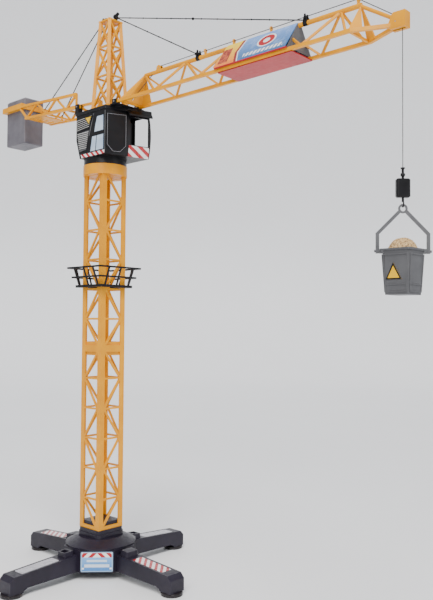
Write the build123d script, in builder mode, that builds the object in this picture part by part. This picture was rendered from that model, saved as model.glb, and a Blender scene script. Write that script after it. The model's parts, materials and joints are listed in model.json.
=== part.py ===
from build123d import *
import math
import os

# Toy tower crane. Millimetres, +Z up. The origin is on the ground on the mast axis, and the jib
# points along +X.

os.makedirs("parts", exist_ok=True)

# ---- driving dimensions -------------------------------------------------------------------------
gap = 0.3  # clearance between parts that only face each other
running_fit = 0.06  # radial clearance of a shaft in its hole
seat_gap = 0.15  # clearance round a part that sits in a recess

# base
foot_reach = 180.0  # foot centre from the mast axis
foot_pad_radius = 18.0
foot_pad_height = 6.0
arm_width = 31.0
arm_hub_top = 42.0
arm_end_top = 34.0
arm_hub_bottom = 14.0
arm_end_bottom = 12.0
shell_wall = 2.4
leg_width = 24.0
hub_chamfer_distance = 60.0
hub_top = 50.0
dome_radius = 61.0
dome_neck_radius = 40.0
dome_height = 13.0
collar_side = 60.0
collar_height = 14.0
inlay_depth = 1.2
screw_radius = 1.6
screw_head_radius = 3.0

# mast
mast_side = 53.2
mast_bottom = 76.6
bay_height = 52.3
bays_per_section = 6
mast_flange = 9.5
mast_wall = 2.4
mast_bar = 3.2
mast_diagonal = 3.8
joiner_height = 12.0
joiner_wall = 1.6

# platform
platform_z = 496.0
deck_side = 73.0
deck_height = 4.4
rim_side = 95.0
rim_height = 34.0
rail_radius = 1.5
posts_per_side = 3
post_pitch = 26.0

# slewing
slew_ring_radius = 39.0
slew_ring_height = 18.0
slew_module = 1.0
slew_gear_teeth = 40
pinion_teeth = 12
gear_height = 5.0
king_bolt_radius = 4.0
turntable_radius = 38.0
turntable_height = 12.0

# house
house_roof_z = 806.0
house_wall = 2.0
roof_height = 6.0
house_rear_x = -36.0
house_near_y = -38.0
house_far_y = 44.0
house_door_rear = (45.0, house_near_y)
house_door_front = (61.0, -1.0)
house_front_far = (72.0, house_far_y)
front_bulge = 5.0
windscreen_sill = 748.0
windscreen_head = 798.0
bulkhead_x = 24.0
lug_height = 14.0
lug_wall = 3.0
jib_lug_x = 58.0
counter_lug_x = -42.0

# tower head
head_x = 10.0
head_bottom = 820.0
head_top = 978.0
head_bottom_side = 48.0
head_top_side = 30.6
head_base_height = 8.0
head_bar = 3.0
head_post = 6.0
head_levels = (820.0, 875.0, 929.0, 976.0)
stay_radius = 0.9

# jib
jib_chord_y = 25.5
jib_chord_z = 817.5
jib_chord = 5.0
jib_top_z = 859.0
jib_top_radius = 3.5
jib_root_x = 66.0
jib_peak_x = 105.0
jib_bay = 98.0
jib_bays = 4
jib_split_bay = 2
jib_end_x = 522.0
jib_web = 3.2
tip_x = 576.0
tip_block_length = 20.0
tip_block_width = 14.0
tip_block_bottom = 812.0
tip_block_top = 833.0
lug_hole_radius = 1.8
banner_start_x = 296.0
banner_end_x = 427.0
banner_wall = 1.2
stay_foot_short = 230.0
stay_foot_long = 439.0

# hoist rope and its wheels
rope_radius = 0.6
drum_x = 0.0
drum_z = 785.0
drum_radius = 9.0
drum_width = 22.0
drum_flange = 14.0
wheel_width = 3.2
root_roller_radius = 3.0
tip_pulley_radius = 6.0
axle_radius = 1.0
rope_roof_point = (52.0, 812.4)
rope_root_point = (139.0, 867.2)
rope_lug_point = (524.0, 869.0)
rope_tip_point = (588.6, 824.4)
rope_hang_z = 816.0
rope_end_z = 634.0

# counter-jib
counter_y = 29.0
counter_pin_z = 826.5
counter_end_x = -212.0
counter_pitch = 62.0
counter_rise = 25.0
counter_slope = 3.6
counter_chord = 4.5
counter_web = 3.4
ballast_band_start = -224.0
ballast_band_end = -292.0
ballast_band_height = 10.0
ballast_length = 64.0
ballast_width = 44.6
ballast_bottom = 793.0
ballast_top = 885.0
ballast_x = -258.0

# hook and bucket
block_top = 619.0
block_bottom = 595.0
block_width = 18.0
block_depth = 10.0
hook_radius = 3.6
hook_wire = 0.9
hook_centre_z = 586.75
hook_sweep = 285.0
shank_radius = 1.5
shank_depth = 8.0
bail_ring_inner = 3.4
bail_ring_outer = 6.0
bail_ring_depth = 1.6
bail_bar = 4.0
bail_depth = 3.0
bail_shoulder_z = 549.0
bail_shoulder_half = 32.5
bucket_pin_z = 527.0
bucket_rim_z = 530.0
bucket_bottom_z = 472.0
bucket_rim_side = 40.0
bucket_bottom_side = 33.6
bucket_wall = 1.8
bail_yaw = 44.2
pin_radius = 1.6
sand_top_z = 544.0

inner_mast = mast_side - 2 * mast_wall
section_height = bays_per_section * bay_height
mast_split = mast_bottom + section_height
mast_top = mast_split + section_height
ring_bottom = mast_top - 7.0
ring_top = ring_bottom + slew_ring_height
gear_distance = slew_module * (slew_gear_teeth + pinion_teeth) / 2
turntable_bottom = ring_top + gap
turntable_top = turntable_bottom + turntable_height
plate_wall = 3.0


# ---- shared shapes ------------------------------------------------------------------------------
def write(piece, name):
    piece.part.label = name
    export_step(piece.part, "parts/" + name + ".step")


def square_bar(start, end, width, height=None):
    """A straight bar of rectangular section, added to the part being built."""
    along = Vector(*end) - Vector(*start)
    side = Vector(0, 0, 1).cross(along)
    x_dir = side if side.length > 1e-6 else Vector(1, 0, 0)
    with BuildSketch(Plane(origin=start, x_dir=x_dir, z_dir=along)) as section:
        Rectangle(width, height or width)
    extrude(section.sketch, amount=along.length)


def round_bar(start, end, radius):
    along = Vector(*end) - Vector(*start)
    with BuildSketch(Plane(origin=start, z_dir=along)) as section:
        Circle(radius)
    extrude(section.sketch, amount=along.length)


def wheel_centre(before, corner, after, radius):
    """Centre of a wheel of this radius that lies inside the corner of a rope's route in XZ."""
    arrive = (Vector(*corner) - Vector(*before)).normalized()
    leave = (Vector(*after) - Vector(*corner)).normalized()
    inward = (leave - arrive).normalized()
    half_turn = math.radians(arrive.get_angle(leave)) / 2
    return Vector(*corner) + inward * (radius / math.cos(half_turn))


def gear_outline(teeth, module, turn=0.0):
    """A gear's outline as straight-flanked teeth round its pitch circle, in degrees of turn."""
    pitch = 360.0 / teeth
    radius = teeth * module / 2
    root = radius - 1.2 * module
    tip = radius + 0.95 * module
    points = []
    for k in range(teeth):
        middle = turn + k * pitch
        for share, r in ((-0.34, root), (-0.11, tip), (0.11, tip), (0.34, root)):
            a = math.radians(middle + share * pitch)
            points.append((r * math.cos(a), r * math.sin(a)))
    return points


# ---- base ---------------------------------------------------------------------------------------
arm_slope = math.degrees(math.atan2(arm_hub_top - arm_end_top, foot_reach - hub_chamfer_distance))
arm_end_x = foot_reach + leg_width / 2


def arm_top(x):
    """Height of an arm's top at this distance from the axis."""
    share = (x - hub_chamfer_distance) / (foot_reach - hub_chamfer_distance)
    return arm_hub_top + share * (arm_end_top - arm_hub_top)


def arm_plane(turn, x, lift=0.0):
    """The plane of an arm's sloping top, with its x along the arm."""
    a = math.radians(turn)
    s = math.radians(arm_slope)
    out = Vector(math.cos(a) * math.cos(s), math.sin(a) * math.cos(s), -math.sin(s))
    up = Vector(math.cos(a) * math.sin(s), math.sin(a) * math.sin(s), math.cos(s))
    origin = Vector(math.cos(a) * x, math.sin(a) * x, arm_top(x)) + up * lift
    return Plane(origin=origin, x_dir=out, z_dir=up)


def arm_side(turn):
    """The upright plane through an arm's middle, with its x along the arm and its y up."""
    a = math.radians(turn)
    return Plane(origin=(0, 0, 0), x_dir=(math.cos(a), math.sin(a), 0),
                 z_dir=(math.sin(a), -math.cos(a), 0))


hub_half_face = 28.0
hub_corner = (
    (hub_chamfer_distance + hub_half_face) / math.sqrt(2),
    (hub_chamfer_distance - hub_half_face) / math.sqrt(2),
)
inlay_length = 72.0
inlay_width = 22.0
inlay_x = 132.0


def hub_outline(inset):
    points = []
    shrink = (hub_corner[0] - inset) / hub_corner[0]
    for k in range(4):
        for x, y in (hub_corner, (hub_corner[1], hub_corner[0])):
            points.append(Vector(x * shrink, y * shrink).rotate(Axis.Z, 90 * k))
    return points


def arm_profile(inset):
    """An arm's outline from the side; with an inset, its hollow, which is open underneath."""
    knee = foot_reach - leg_width / 2 + inset
    low = 1.0 if inset else 0.0
    start = hub_corner[0] - 8.0 if not inset else hub_chamfer_distance - 20.0
    return [
        (start, arm_top(start) - inset),
        (arm_end_x - 7.0, arm_top(arm_end_x - 7.0) - inset),
        (arm_end_x - inset, arm_top(arm_end_x) - 7.0),
        (arm_end_x - inset, foot_pad_height - low),
        (knee, foot_pad_height - low),
        (knee - 2.0 - low, arm_end_bottom - 3.0 - low),
        (knee - 9.0, arm_end_bottom - low),
        (start, arm_hub_bottom - low),
    ]


with BuildPart() as base_cross:
    with BuildSketch(Plane.XY.offset(arm_hub_bottom)):
        Polygon(*hub_outline(0.0), align=None)
    extrude(amount=hub_top - arm_hub_bottom)
    for k in range(4):
        with BuildSketch(arm_side(90 * k)):
            Polygon(*arm_profile(0.0), align=None)
        extrude(amount=arm_width / 2, both=True)
    with BuildSketch(Plane.XY.offset(arm_hub_bottom)):
        Polygon(*hub_outline(shell_wall), align=None)
    extrude(amount=hub_top - arm_hub_bottom - shell_wall, mode=Mode.SUBTRACT)
    for k in range(4):
        with BuildSketch(arm_side(90 * k)):
            Polygon(*arm_profile(shell_wall), align=None)
        extrude(amount=arm_width / 2 - shell_wall, both=True, mode=Mode.SUBTRACT)
        with BuildSketch(arm_plane(90 * k, inlay_x)):
            RectangleRounded(inlay_length + 2 * seat_gap, inlay_width + 2 * seat_gap, 3.0)
        extrude(amount=-inlay_depth, mode=Mode.SUBTRACT)
write(base_cross, "base_cross")

with BuildPart() as arm_inlays:
    for k in range(4):
        with BuildSketch(arm_plane(90 * k, inlay_x)):
            RectangleRounded(inlay_length, inlay_width, 3.0 - seat_gap)
        extrude(amount=-inlay_depth)
write(arm_inlays, "arm_inlays")

with BuildPart() as foot_pads:
    with BuildSketch():
        with PolarLocations(foot_reach, 4):
            Circle(foot_pad_radius)
    extrude(amount=foot_pad_height)
    chamfer(foot_pads.edges().filter_by(GeomType.CIRCLE), 1.2)
write(foot_pads, "foot_pads")

cover_x = 76.0
cover_length = 20.0
cover_width = 27.0
cover_height = 9.0
with BuildPart() as arm_covers:
    for k in (0, 2):
        with BuildSketch(arm_plane(90 * k, cover_x)):
            RectangleRounded(cover_length, cover_width, 4.0)
        extrude(amount=cover_height, taper=12)
write(arm_covers, "arm_covers")

with BuildPart() as arm_buckles:
    for k in (1, 3):
        with BuildSketch(arm_plane(90 * k, cover_x)):
            RectangleRounded(cover_length, cover_width - 6.0, 2.5)
        extrude(amount=cover_height - 1.0, taper=8)
        with BuildSketch(arm_plane(90 * k, cover_x + 1.0, cover_height - 1.0)):
            RectangleRounded(cover_length - 9.0, cover_width - 14.0, 1.5)
        extrude(amount=-5.0, mode=Mode.SUBTRACT)
write(arm_buckles, "arm_buckles")

label_height = 33.0
label_wall = 0.8
with BuildPart() as hub_label_plates:
    for turn in (-45.0, 135.0):
        a = math.radians(turn)
        out = Vector(math.cos(a), math.sin(a), 0)
        middle = (arm_hub_bottom + hub_top) / 2
        face = Plane(origin=out * hub_chamfer_distance + Vector(0, 0, middle),
                     x_dir=(-math.sin(a), math.cos(a), 0), z_dir=out)
        with BuildSketch(face):
            RectangleRounded(2 * hub_half_face - 2.0, label_height, 2.0)
        extrude(amount=label_wall)
write(hub_label_plates, "hub_label_plates")

dome_rim = 2.5
dome_top = hub_top + dome_height
with BuildPart() as hub_dome:
    with BuildSketch(Plane.XZ):
        Polygon(
            (dome_neck_radius - 12.0, dome_top - shell_wall), (dome_neck_radius - 12.0, dome_top),
            (dome_neck_radius, dome_top), (dome_radius, hub_top + dome_rim), (dome_radius, hub_top),
            (dome_radius - shell_wall, hub_top), (dome_radius - shell_wall, hub_top + dome_rim - 1.0),
            (dome_neck_radius - 1.0, dome_top - shell_wall), align=None,
        )
    revolve(axis=Axis.Z)
write(hub_dome, "hub_dome")

collar_step = 1.5
spigot_height = 12.0
with BuildPart() as mast_collar:
    with BuildSketch(Plane.XY.offset(dome_top)):
        RectangleRounded(collar_side, collar_side, 9.0)
    extrude(amount=collar_height / 2)
    with BuildSketch(Plane.XY.offset(dome_top + collar_height / 2)):
        RectangleRounded(collar_side - 2 * collar_step, collar_side - 2 * collar_step, 8.0)
    extrude(amount=mast_bottom - dome_top - collar_height / 2)
    with BuildSketch(Plane.XY.offset(mast_bottom)):
        Rectangle(inner_mast - 2 * seat_gap, inner_mast - 2 * seat_gap)
    extrude(amount=spigot_height)
    with BuildSketch(Plane.XY.offset(dome_top)):
        Circle(dome_neck_radius - 20.0)
    extrude(amount=mast_bottom + spigot_height - dome_top - shell_wall, mode=Mode.SUBTRACT)
write(mast_collar, "mast_collar")

with BuildPart() as base_screws:
    for k in range(4):
        a = math.radians(90 * k + 45)
        spot = Vector(math.cos(a), math.sin(a), 0) * 35.0
        with BuildSketch(Plane(origin=spot + Vector(0, 0, hub_top - shell_wall), z_dir=(0, 0, -1))):
            Circle(screw_head_radius)
        extrude(amount=1.8)
write(base_screws, "base_screws")


# ---- mast ---------------------------------------------------------------------------------------
def side_plane(k, distance, z):
    """Plane on side k of a square column, seen from outside: x to the right and y up."""
    a = math.radians(90 * k)
    out = Vector(math.cos(a), math.sin(a), 0)
    return Plane(origin=out * distance + Vector(0, 0, z),
                 x_dir=(-math.sin(a), math.cos(a), 0), z_dir=out)


def bay_windows(bottom, top, rising):
    """The two triangles left open in one bay by its diagonal."""
    half = mast_side / 2 - mast_flange
    w, h = 2 * half, top - bottom
    length = math.hypot(w, h)
    side_shift = mast_diagonal / 2 * length / h
    up_shift = mast_diagonal / 2 * length / w
    lean = 1 if rising else -1
    low = [(half, bottom), (-half + side_shift, bottom), (half, top - up_shift)]
    high = [(-half, top), (half - side_shift, top), (-half, bottom + up_shift)]
    for triangle in (low, high):
        Polygon(*[(lean * x, y) for x, y in triangle], align=None, mode=Mode.SUBTRACT)


def mast_section(bottom, wide_bottom_bar):
    """One lattice section of the mast: four side panels that meet at the corners."""
    with BuildPart() as section:
        for k in range(4):
            with BuildSketch(side_plane(k, mast_side / 2, bottom)) as panel:
                Rectangle(mast_side, section_height, align=(Align.CENTER, Align.MIN))
                for bay in range(bays_per_section):
                    low = bay * bay_height + mast_bar / 2
                    high = (bay + 1) * bay_height - mast_bar / 2
                    if bay == 0 and wide_bottom_bar:
                        low = joiner_height / 2
                    if bay == bays_per_section - 1:
                        high = section_height - joiner_height / 2
                    bay_windows(low, high, (bay + k) % 2 == 0)
            extrude(panel.sketch, amount=-mast_wall)
    return section


mast_lower_section = mast_section(mast_bottom, True)
write(mast_lower_section, "mast_lower_section")
mast_upper_section = mast_section(mast_split, True)
write(mast_upper_section, "mast_upper_section")

with BuildPart() as mast_joiner:
    with BuildSketch(Plane.XY.offset(mast_split - joiner_height)):
        Rectangle(inner_mast - 2 * seat_gap, inner_mast - 2 * seat_gap)
        Rectangle(inner_mast - 2 * seat_gap - 2 * joiner_wall,
                  inner_mast - 2 * seat_gap - 2 * joiner_wall, mode=Mode.SUBTRACT)
    extrude(amount=2 * joiner_height)
write(mast_joiner, "mast_joiner")

# ---- platform -----------------------------------------------------------------------------------
rail_bar = 2 * rail_radius
rim_top = platform_z + deck_height + rim_height
tab_width = 12.0
tab_height = 3.0
tab_bottom = mast_split + 2 * bay_height + mast_bar / 2
deck_bottom = tab_bottom + 1.5
with BuildPart() as platform_deck:
    with BuildSketch(Plane.XY.offset(deck_bottom)):
        RectangleRounded(deck_side, deck_side, 3.0)
        Rectangle(mast_side + 2 * seat_gap, mast_side + 2 * seat_gap, mode=Mode.SUBTRACT)
    extrude(amount=deck_height)
    for k in range(4):
        with BuildSketch(side_plane(k, mast_side / 2 + 1.0, tab_bottom)) as tab:
            Rectangle(tab_width, tab_height, align=(Align.CENTER, Align.MIN))
        extrude(tab.sketch, amount=-(mast_wall + 1.0))
write(platform_deck, "platform_deck")

deck_top = deck_bottom + deck_height
mid_share = 0.48
with BuildPart() as platform_railing:
    for share in (mid_share, 1.0):
        side = deck_side - rail_bar + share * (rim_side - deck_side)
        level = deck_top + share * (rim_top - deck_top) - rail_bar
        with BuildSketch(Plane.XY.offset(level)):
            RectangleRounded(side + rail_bar, side + rail_bar, 3.0)
            Rectangle(side - rail_bar, side - rail_bar, mode=Mode.SUBTRACT)
        extrude(amount=rail_bar)
    for k in range(4):
        a = math.radians(90 * k)
        out = Vector(math.cos(a), math.sin(a), 0)
        along = Vector(-math.sin(a), math.cos(a), 0)
        for n in range(posts_per_side):
            shift = (n - (posts_per_side - 1) / 2) * post_pitch
            foot = out * (deck_side / 2 - rail_radius) + along * shift + Vector(0, 0, deck_top)
            head = out * (rim_side / 2 - rail_radius) + along * shift
            head = head + Vector(0, 0, rim_top - rail_bar)
            lower = foot + (foot - head).normalized() * 0.8
            square_bar(lower, head, rail_bar * 0.8)
    with BuildSketch(Plane.XY.offset(deck_top)):
        Rectangle(2 * deck_side, 2 * deck_side)
    extrude(amount=-6.0, mode=Mode.SUBTRACT)
write(platform_railing, "platform_railing")

# ---- slewing ------------------------------------------------------------------------------------
with BuildPart() as slew_ring:
    with BuildSketch(Plane.XY.offset(ring_bottom)):
        Circle(slew_ring_radius)
    extrude(amount=slew_ring_height)
    with BuildSketch(Plane.XY.offset(ring_bottom)):
        Rectangle(mast_side + 2 * seat_gap, mast_side + 2 * seat_gap)
        Rectangle(inner_mast - 2 * seat_gap, inner_mast - 2 * seat_gap, mode=Mode.SUBTRACT)
    extrude(amount=mast_top - ring_bottom, mode=Mode.SUBTRACT)
    with BuildSketch(Plane.XY.offset(ring_bottom)):
        Circle(king_bolt_radius + running_fit)
    extrude(amount=slew_ring_height, mode=Mode.SUBTRACT)
write(slew_ring, "slew_ring")

with BuildPart() as slew_gear:
    with BuildSketch(Plane.XY.offset(ring_top)):
        Polygon(*gear_outline(slew_gear_teeth, slew_module), align=None)
        Circle(king_bolt_radius + 3.0, mode=Mode.SUBTRACT)
    extrude(amount=gear_height)
write(slew_gear, "slew_gear")

pinion_bottom = ring_top + gap
pinion_shaft_radius = 1.5
motor_base = turntable_top + plate_wall
with BuildPart() as slew_pinion:
    with BuildSketch(Plane.XY.offset(pinion_bottom)):
        with Locations((0, gear_distance)):
            Polygon(*gear_outline(pinion_teeth, slew_module, -90 + 180 / pinion_teeth), align=None)
    extrude(amount=gear_height - 2 * gap)
    with BuildSketch(Plane.XY.offset(pinion_bottom)):
        with Locations((0, gear_distance)):
            Circle(pinion_shaft_radius)
    extrude(amount=motor_base + 4.0 - pinion_bottom)
write(slew_pinion, "slew_pinion")

with BuildPart() as turntable:
    with BuildSketch(Plane.XY.offset(turntable_bottom)):
        Circle(turntable_radius)
    extrude(amount=turntable_height)
    with BuildSketch(Plane.XY.offset(turntable_bottom)):
        Circle(turntable_radius - plate_wall)
    extrude(amount=turntable_height - plate_wall, mode=Mode.SUBTRACT)
    with BuildSketch(Plane.XY.offset(turntable_bottom)):
        Circle(king_bolt_radius + running_fit)
        with Locations((0, gear_distance)):
            Circle(pinion_shaft_radius + running_fit)
    extrude(amount=turntable_height, mode=Mode.SUBTRACT)
write(turntable, "turntable")

bolt_head_radius = 7.0
bolt_head_height = 4.0
with BuildPart() as king_bolt:
    with BuildSketch(Plane.XY.offset(ring_bottom - bolt_head_height)):
        RegularPolygon(bolt_head_radius, 6)
    extrude(amount=bolt_head_height)
    with BuildSketch(Plane.XY.offset(ring_bottom)):
        Circle(king_bolt_radius)
    extrude(amount=turntable_top + gap - ring_bottom)
    with BuildSketch(Plane.XY.offset(turntable_top + gap)):
        Circle(bolt_head_radius)
    extrude(amount=bolt_head_height)
write(king_bolt, "king_bolt")

# ---- house --------------------------------------------------------------------------------------
house_floor_z = turntable_top
rear_slope_top = 762.0
rear_slope_run = 11.0
front_line = Vector(*house_front_far) - Vector(*house_door_front)
front_out = Vector(front_line.Y, -front_line.X, 0).normalized()
front_middle = (Vector(*house_door_front) + Vector(*house_front_far)) / 2
front_side = Plane(origin=front_middle, x_dir=front_out, z_dir=front_out.cross(Vector(0, 0, 1)))
front_face = Plane(origin=front_middle, x_dir=front_line, z_dir=front_out)
door_line = Vector(*house_door_front) - Vector(*house_door_rear)
door_middle = (Vector(*house_door_front) + Vector(*house_door_rear)) / 2
door_out = Vector(door_line.Y, -door_line.X, 0).normalized()
door_face = Plane(origin=door_middle, x_dir=door_line, z_dir=door_out)


def house_outline():
    return [(house_rear_x, house_near_y), house_door_rear, house_door_front, house_front_far,
            (house_rear_x, house_far_y)]


def house_block(inset):
    """The house's outer shape, or its hollow when inset by a wall."""
    low = house_floor_z - (1.0 if inset else 0.0)
    high = house_roof_z + (1.0 if inset else 0.0)
    with BuildPart() as block:
        with BuildSketch(Plane.XY.offset(low)) as plan:
            Polygon(*house_outline(), align=None)
            if inset:
                offset(amount=-inset, kind=Kind.INTERSECTION)
        extrude(plan.sketch, amount=high - low)
        with BuildSketch(front_side) as profile:
            with BuildLine():
                middle = (house_floor_z + house_roof_z) / 2
                ThreePointArc((-front_bulge - inset, low), (-inset, middle), (-front_bulge - inset, high))
                Polyline((-front_bulge - inset, high), (-200, high), (-200, low),
                         (-front_bulge - inset, low))
            make_face()
        extrude(profile.sketch, amount=200, both=True, mode=Mode.INTERSECT)
        with BuildSketch(Plane.XZ) as heel:
            x = house_rear_x + inset
            Polygon((x - 9, rear_slope_top), (x, rear_slope_top), (x + rear_slope_run, house_floor_z),
                    (x + rear_slope_run, low - 2), (x - 9, low - 2), align=None)
        extrude(heel.sketch, amount=100, both=True, mode=Mode.SUBTRACT)
    return block.part


window_near_x = 30.0
window_far_x = 66.0
window_top = 803.0
windscreen_width = 36.0


def house_half(keep):
    with BuildPart() as half:
        add(house_block(0.0))
        add(house_block(house_wall), mode=Mode.SUBTRACT)
        with BuildSketch(front_face) as screen:
            with Locations((1.0, (windscreen_sill + windscreen_head) / 2)):
                Rectangle(windscreen_width, windscreen_head - windscreen_sill)
        extrude(screen.sketch, amount=12, both=True, mode=Mode.SUBTRACT)
        with BuildSketch(Plane.XZ.offset(-house_far_y)) as window:
            with Locations(((window_near_x + window_far_x) / 2, (windscreen_sill + window_top) / 2)):
                Rectangle(window_far_x - window_near_x, window_top - windscreen_sill)
        extrude(window.sketch, amount=5, both=True, mode=Mode.SUBTRACT)
        split(bisect_by=Plane.XZ, keep=keep)
    return half


house_near_shell = house_half(Keep.TOP)
write(house_near_shell, "house_near_shell")
house_far_shell = house_half(Keep.BOTTOM)
write(house_far_shell, "house_far_shell")

with BuildPart() as house_floor:
    add(house_block(house_wall + seat_gap))
    with BuildSketch(Plane.XY.offset(house_floor_z + plate_wall)) as above:
        Rectangle(300, 300)
    extrude(above.sketch, amount=200, mode=Mode.SUBTRACT)
    with BuildSketch(Plane.XY.offset(house_floor_z)) as below:
        Rectangle(300, 300)
    extrude(below.sketch, amount=-20, mode=Mode.SUBTRACT)
    with BuildSketch(Plane.XY.offset(house_floor_z)) as holes:
        Circle(bolt_head_radius + 1.0)
        with Locations((0, gear_distance)):
            Circle(pinion_shaft_radius + running_fit)
    extrude(holes.sketch, amount=plate_wall, mode=Mode.SUBTRACT)
write(house_floor, "house_floor")

roof_overhang = 1.5
roof_top = house_roof_z + roof_height
visor_reach = 6.0
visor_drop = 8.0
rope_slot = (27.0, 4.0)
rope_slot_x = rope_roof_point[0] - 8.5
with BuildPart() as house_roof:
    with BuildSketch(Plane.XY.offset(house_roof_z)) as cover:
        Polygon(*house_outline(), align=None)
        offset(amount=roof_overhang)
    extrude(cover.sketch, amount=roof_height, taper=8)
    with BuildSketch(front_side) as visor:
        Polygon((-6.0, house_roof_z), (-6.0, roof_top - 1.0), (-1.0, roof_top - 1.0),
                (visor_reach, roof_top - visor_drop - 3.0), (visor_reach, roof_top - visor_drop - 6.0),
                (0.2, house_roof_z), align=None)
    extrude(visor.sketch, amount=front_line.length / 2, both=True)
    with BuildSketch(Plane.XY.offset(house_roof_z)) as slot:
        with Locations((rope_slot_x, 0)):
            Rectangle(*rope_slot)
    extrude(slot.sketch, amount=roof_height + 1.0, mode=Mode.SUBTRACT)
write(house_roof, "house_roof")

bulkhead_wall = 2.0
bulkhead_top = 799.0
bulkhead_y = -4.0
floor_top = house_floor_z + plate_wall
with BuildPart() as cab_bulkhead:
    with BuildSketch(Plane.XY.offset(floor_top)) as walls:
        with Locations((bulkhead_x, bulkhead_y)):
            Rectangle(bulkhead_wall, house_far_y - house_wall - seat_gap - bulkhead_y,
                      align=(Align.MIN, Align.MIN))
            Rectangle(house_door_front[0] - bulkhead_x - 8.0, bulkhead_wall,
                      align=(Align.MIN, Align.MIN))
    extrude(walls.sketch, amount=bulkhead_top - floor_top)
write(cab_bulkhead, "cab_bulkhead")

panel_wall = 1.2
door_width = 36.5
door_height = 68.0
door_corner = 11.0
door_top = 799.0
with BuildPart() as cab_door:
    with BuildSketch(door_face) as panel:
        half = door_width / 2
        low = door_top - door_height
        Polygon((-half, door_top), (half, door_top), (half, low + door_corner),
                (half - door_corner, low), (-half + door_corner, low), (-half, low + door_corner),
                align=None)
    extrude(panel.sketch, amount=panel_wall)
write(cab_door, "cab_door")

side_face = Plane.XZ.offset(-house_near_y)
louvre_outline = ((-34.0, 800.0), (13.0, 800.0), (4.0, 780.0), (-34.0, 776.0))
louvre_count = 6
louvre_pitch = 3.5
louvre_rise = 2.6
blade_wall = 1.7
backing = 0.5
with BuildPart() as side_louvres:
    with BuildSketch(side_face) as back:
        Polygon(*louvre_outline, align=None)
    extrude(back.sketch, amount=backing)
    for n in range(louvre_count):
        z = louvre_outline[3][1] + 1.5 + n * louvre_pitch
        right = louvre_outline[2][0] - 2.0 + n * 1.4
        with BuildSketch(side_face) as blade:
            Polygon((-33.0, z), (right, z + louvre_rise), (right, z + louvre_rise + blade_wall),
                    (-33.0, z + blade_wall), align=None)
        extrude(blade.sketch, amount=panel_wall + 0.4)
write(side_louvres, "side_louvres")

grille_outline = ((-32.0, 773.0), (0.0, 775.0), (-7.0, 742.0), (-25.0, 740.0))
grille_slats = 9
grille_pitch = 3.4
with BuildPart() as side_grille:
    with BuildSketch(side_face) as field:
        Polygon(*grille_outline, align=None)
    extrude(field.sketch, amount=panel_wall)
    for n in range(grille_slats):
        with BuildSketch(Plane.XZ.offset(-house_near_y + backing)) as gap_line:
            with Locations((-16.0, 743.5 + n * grille_pitch)):
                Rectangle(40.0, grille_pitch - blade_wall)
        extrude(gap_line.sketch, amount=panel_wall, mode=Mode.SUBTRACT)
write(side_grille, "side_grille")

stripe_height = 19.0
with BuildPart() as windscreen_stripe_plate:
    add(house_block(-0.8))
    add(house_block(0.0), mode=Mode.SUBTRACT)
    with BuildSketch(front_face) as field:
        with Locations((0, windscreen_sill - 1.5 - stripe_height / 2)):
            Rectangle(windscreen_width + 4.0, stripe_height)
    extrude(field.sketch, amount=12, both=True, mode=Mode.INTERSECT)
write(windscreen_stripe_plate, "windscreen_stripe_plate")

# ---- tower head and lugs ------------------------------------------------------------------------
head_plate = 3.0


def head_corner(level, i, j):
    share = (level - head_bottom) / (head_top - head_bottom)
    half = (head_bottom_side + share * (head_top_side - head_bottom_side)) / 2 - head_post / 2
    return Vector(head_x + i * half, j * half, level)


corner_signs = [(-1, -1), (1, -1), (1, 1), (-1, 1)]
with BuildPart() as tower_head:
    with BuildSketch(Plane.XY.offset(roof_top)) as frame:
        with Locations((head_x, 0)):
            Rectangle(head_bottom_side, head_bottom_side)
            Rectangle(head_bottom_side - 2 * head_post, head_bottom_side - 2 * head_post,
                      mode=Mode.SUBTRACT)
    extrude(frame.sketch, amount=head_base_height)
    for n in range(4):
        a, b = corner_signs[n], corner_signs[(n + 1) % 4]
        foot, top = head_corner(head_bottom - 2.0, *a), head_corner(head_levels[-1] + 2.0, *a)
        square_bar(foot, top, head_post)
        for low, high in zip(head_levels, head_levels[1:]):
            square_bar(head_corner(low, *a), head_corner(high, *b), head_bar)
            square_bar(head_corner(low, *b), head_corner(high, *a), head_bar)
            square_bar(head_corner(high, *a), head_corner(high, *b), head_bar)
    with BuildSketch(Plane.XY.offset(head_top - head_plate)) as cap:
        with Locations((head_x, 0)):
            Rectangle(head_top_side, head_top_side)
    extrude(cap.sketch, amount=head_plate)
write(tower_head, "tower_head")

hook_wall = 4.0
clip_wall = 1.4
stay_pin_radius = 1.2
hook_offset = 14.0
hook_pin_lift = 5.0
lug_pin_lift = 6.0
stay_head_y = hook_wall / 2 + gap + stay_radius
with BuildPart() as stay_hooks:
    for x, lean in ((head_x + hook_offset, 1), (head_x - hook_offset, -1)):
        with BuildSketch(Plane.XZ.offset(-hook_wall / 2)) as profile:
            shape = [(-3, 0), (3, 0), (3, 6), (8, 9), (6, 12), (1, 9.5), (-3, 10)]
            Polygon(*[(x + lean * u, head_top + w) for u, w in shape], align=None)
        extrude(profile.sketch, amount=hook_wall)
        with BuildSketch(Plane.XZ) as pin:
            with Locations((x, head_top + hook_pin_lift)):
                Circle(stay_pin_radius)
        extrude(pin.sketch, amount=stay_head_y + stay_radius + gap, both=True)
write(stay_hooks, "stay_hooks")

bracket_wall = 3.0
pin_gap = running_fit
jib_pin_radius = 1.5
cheek_wall = 2.2
cheek_length = 10.0


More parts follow.
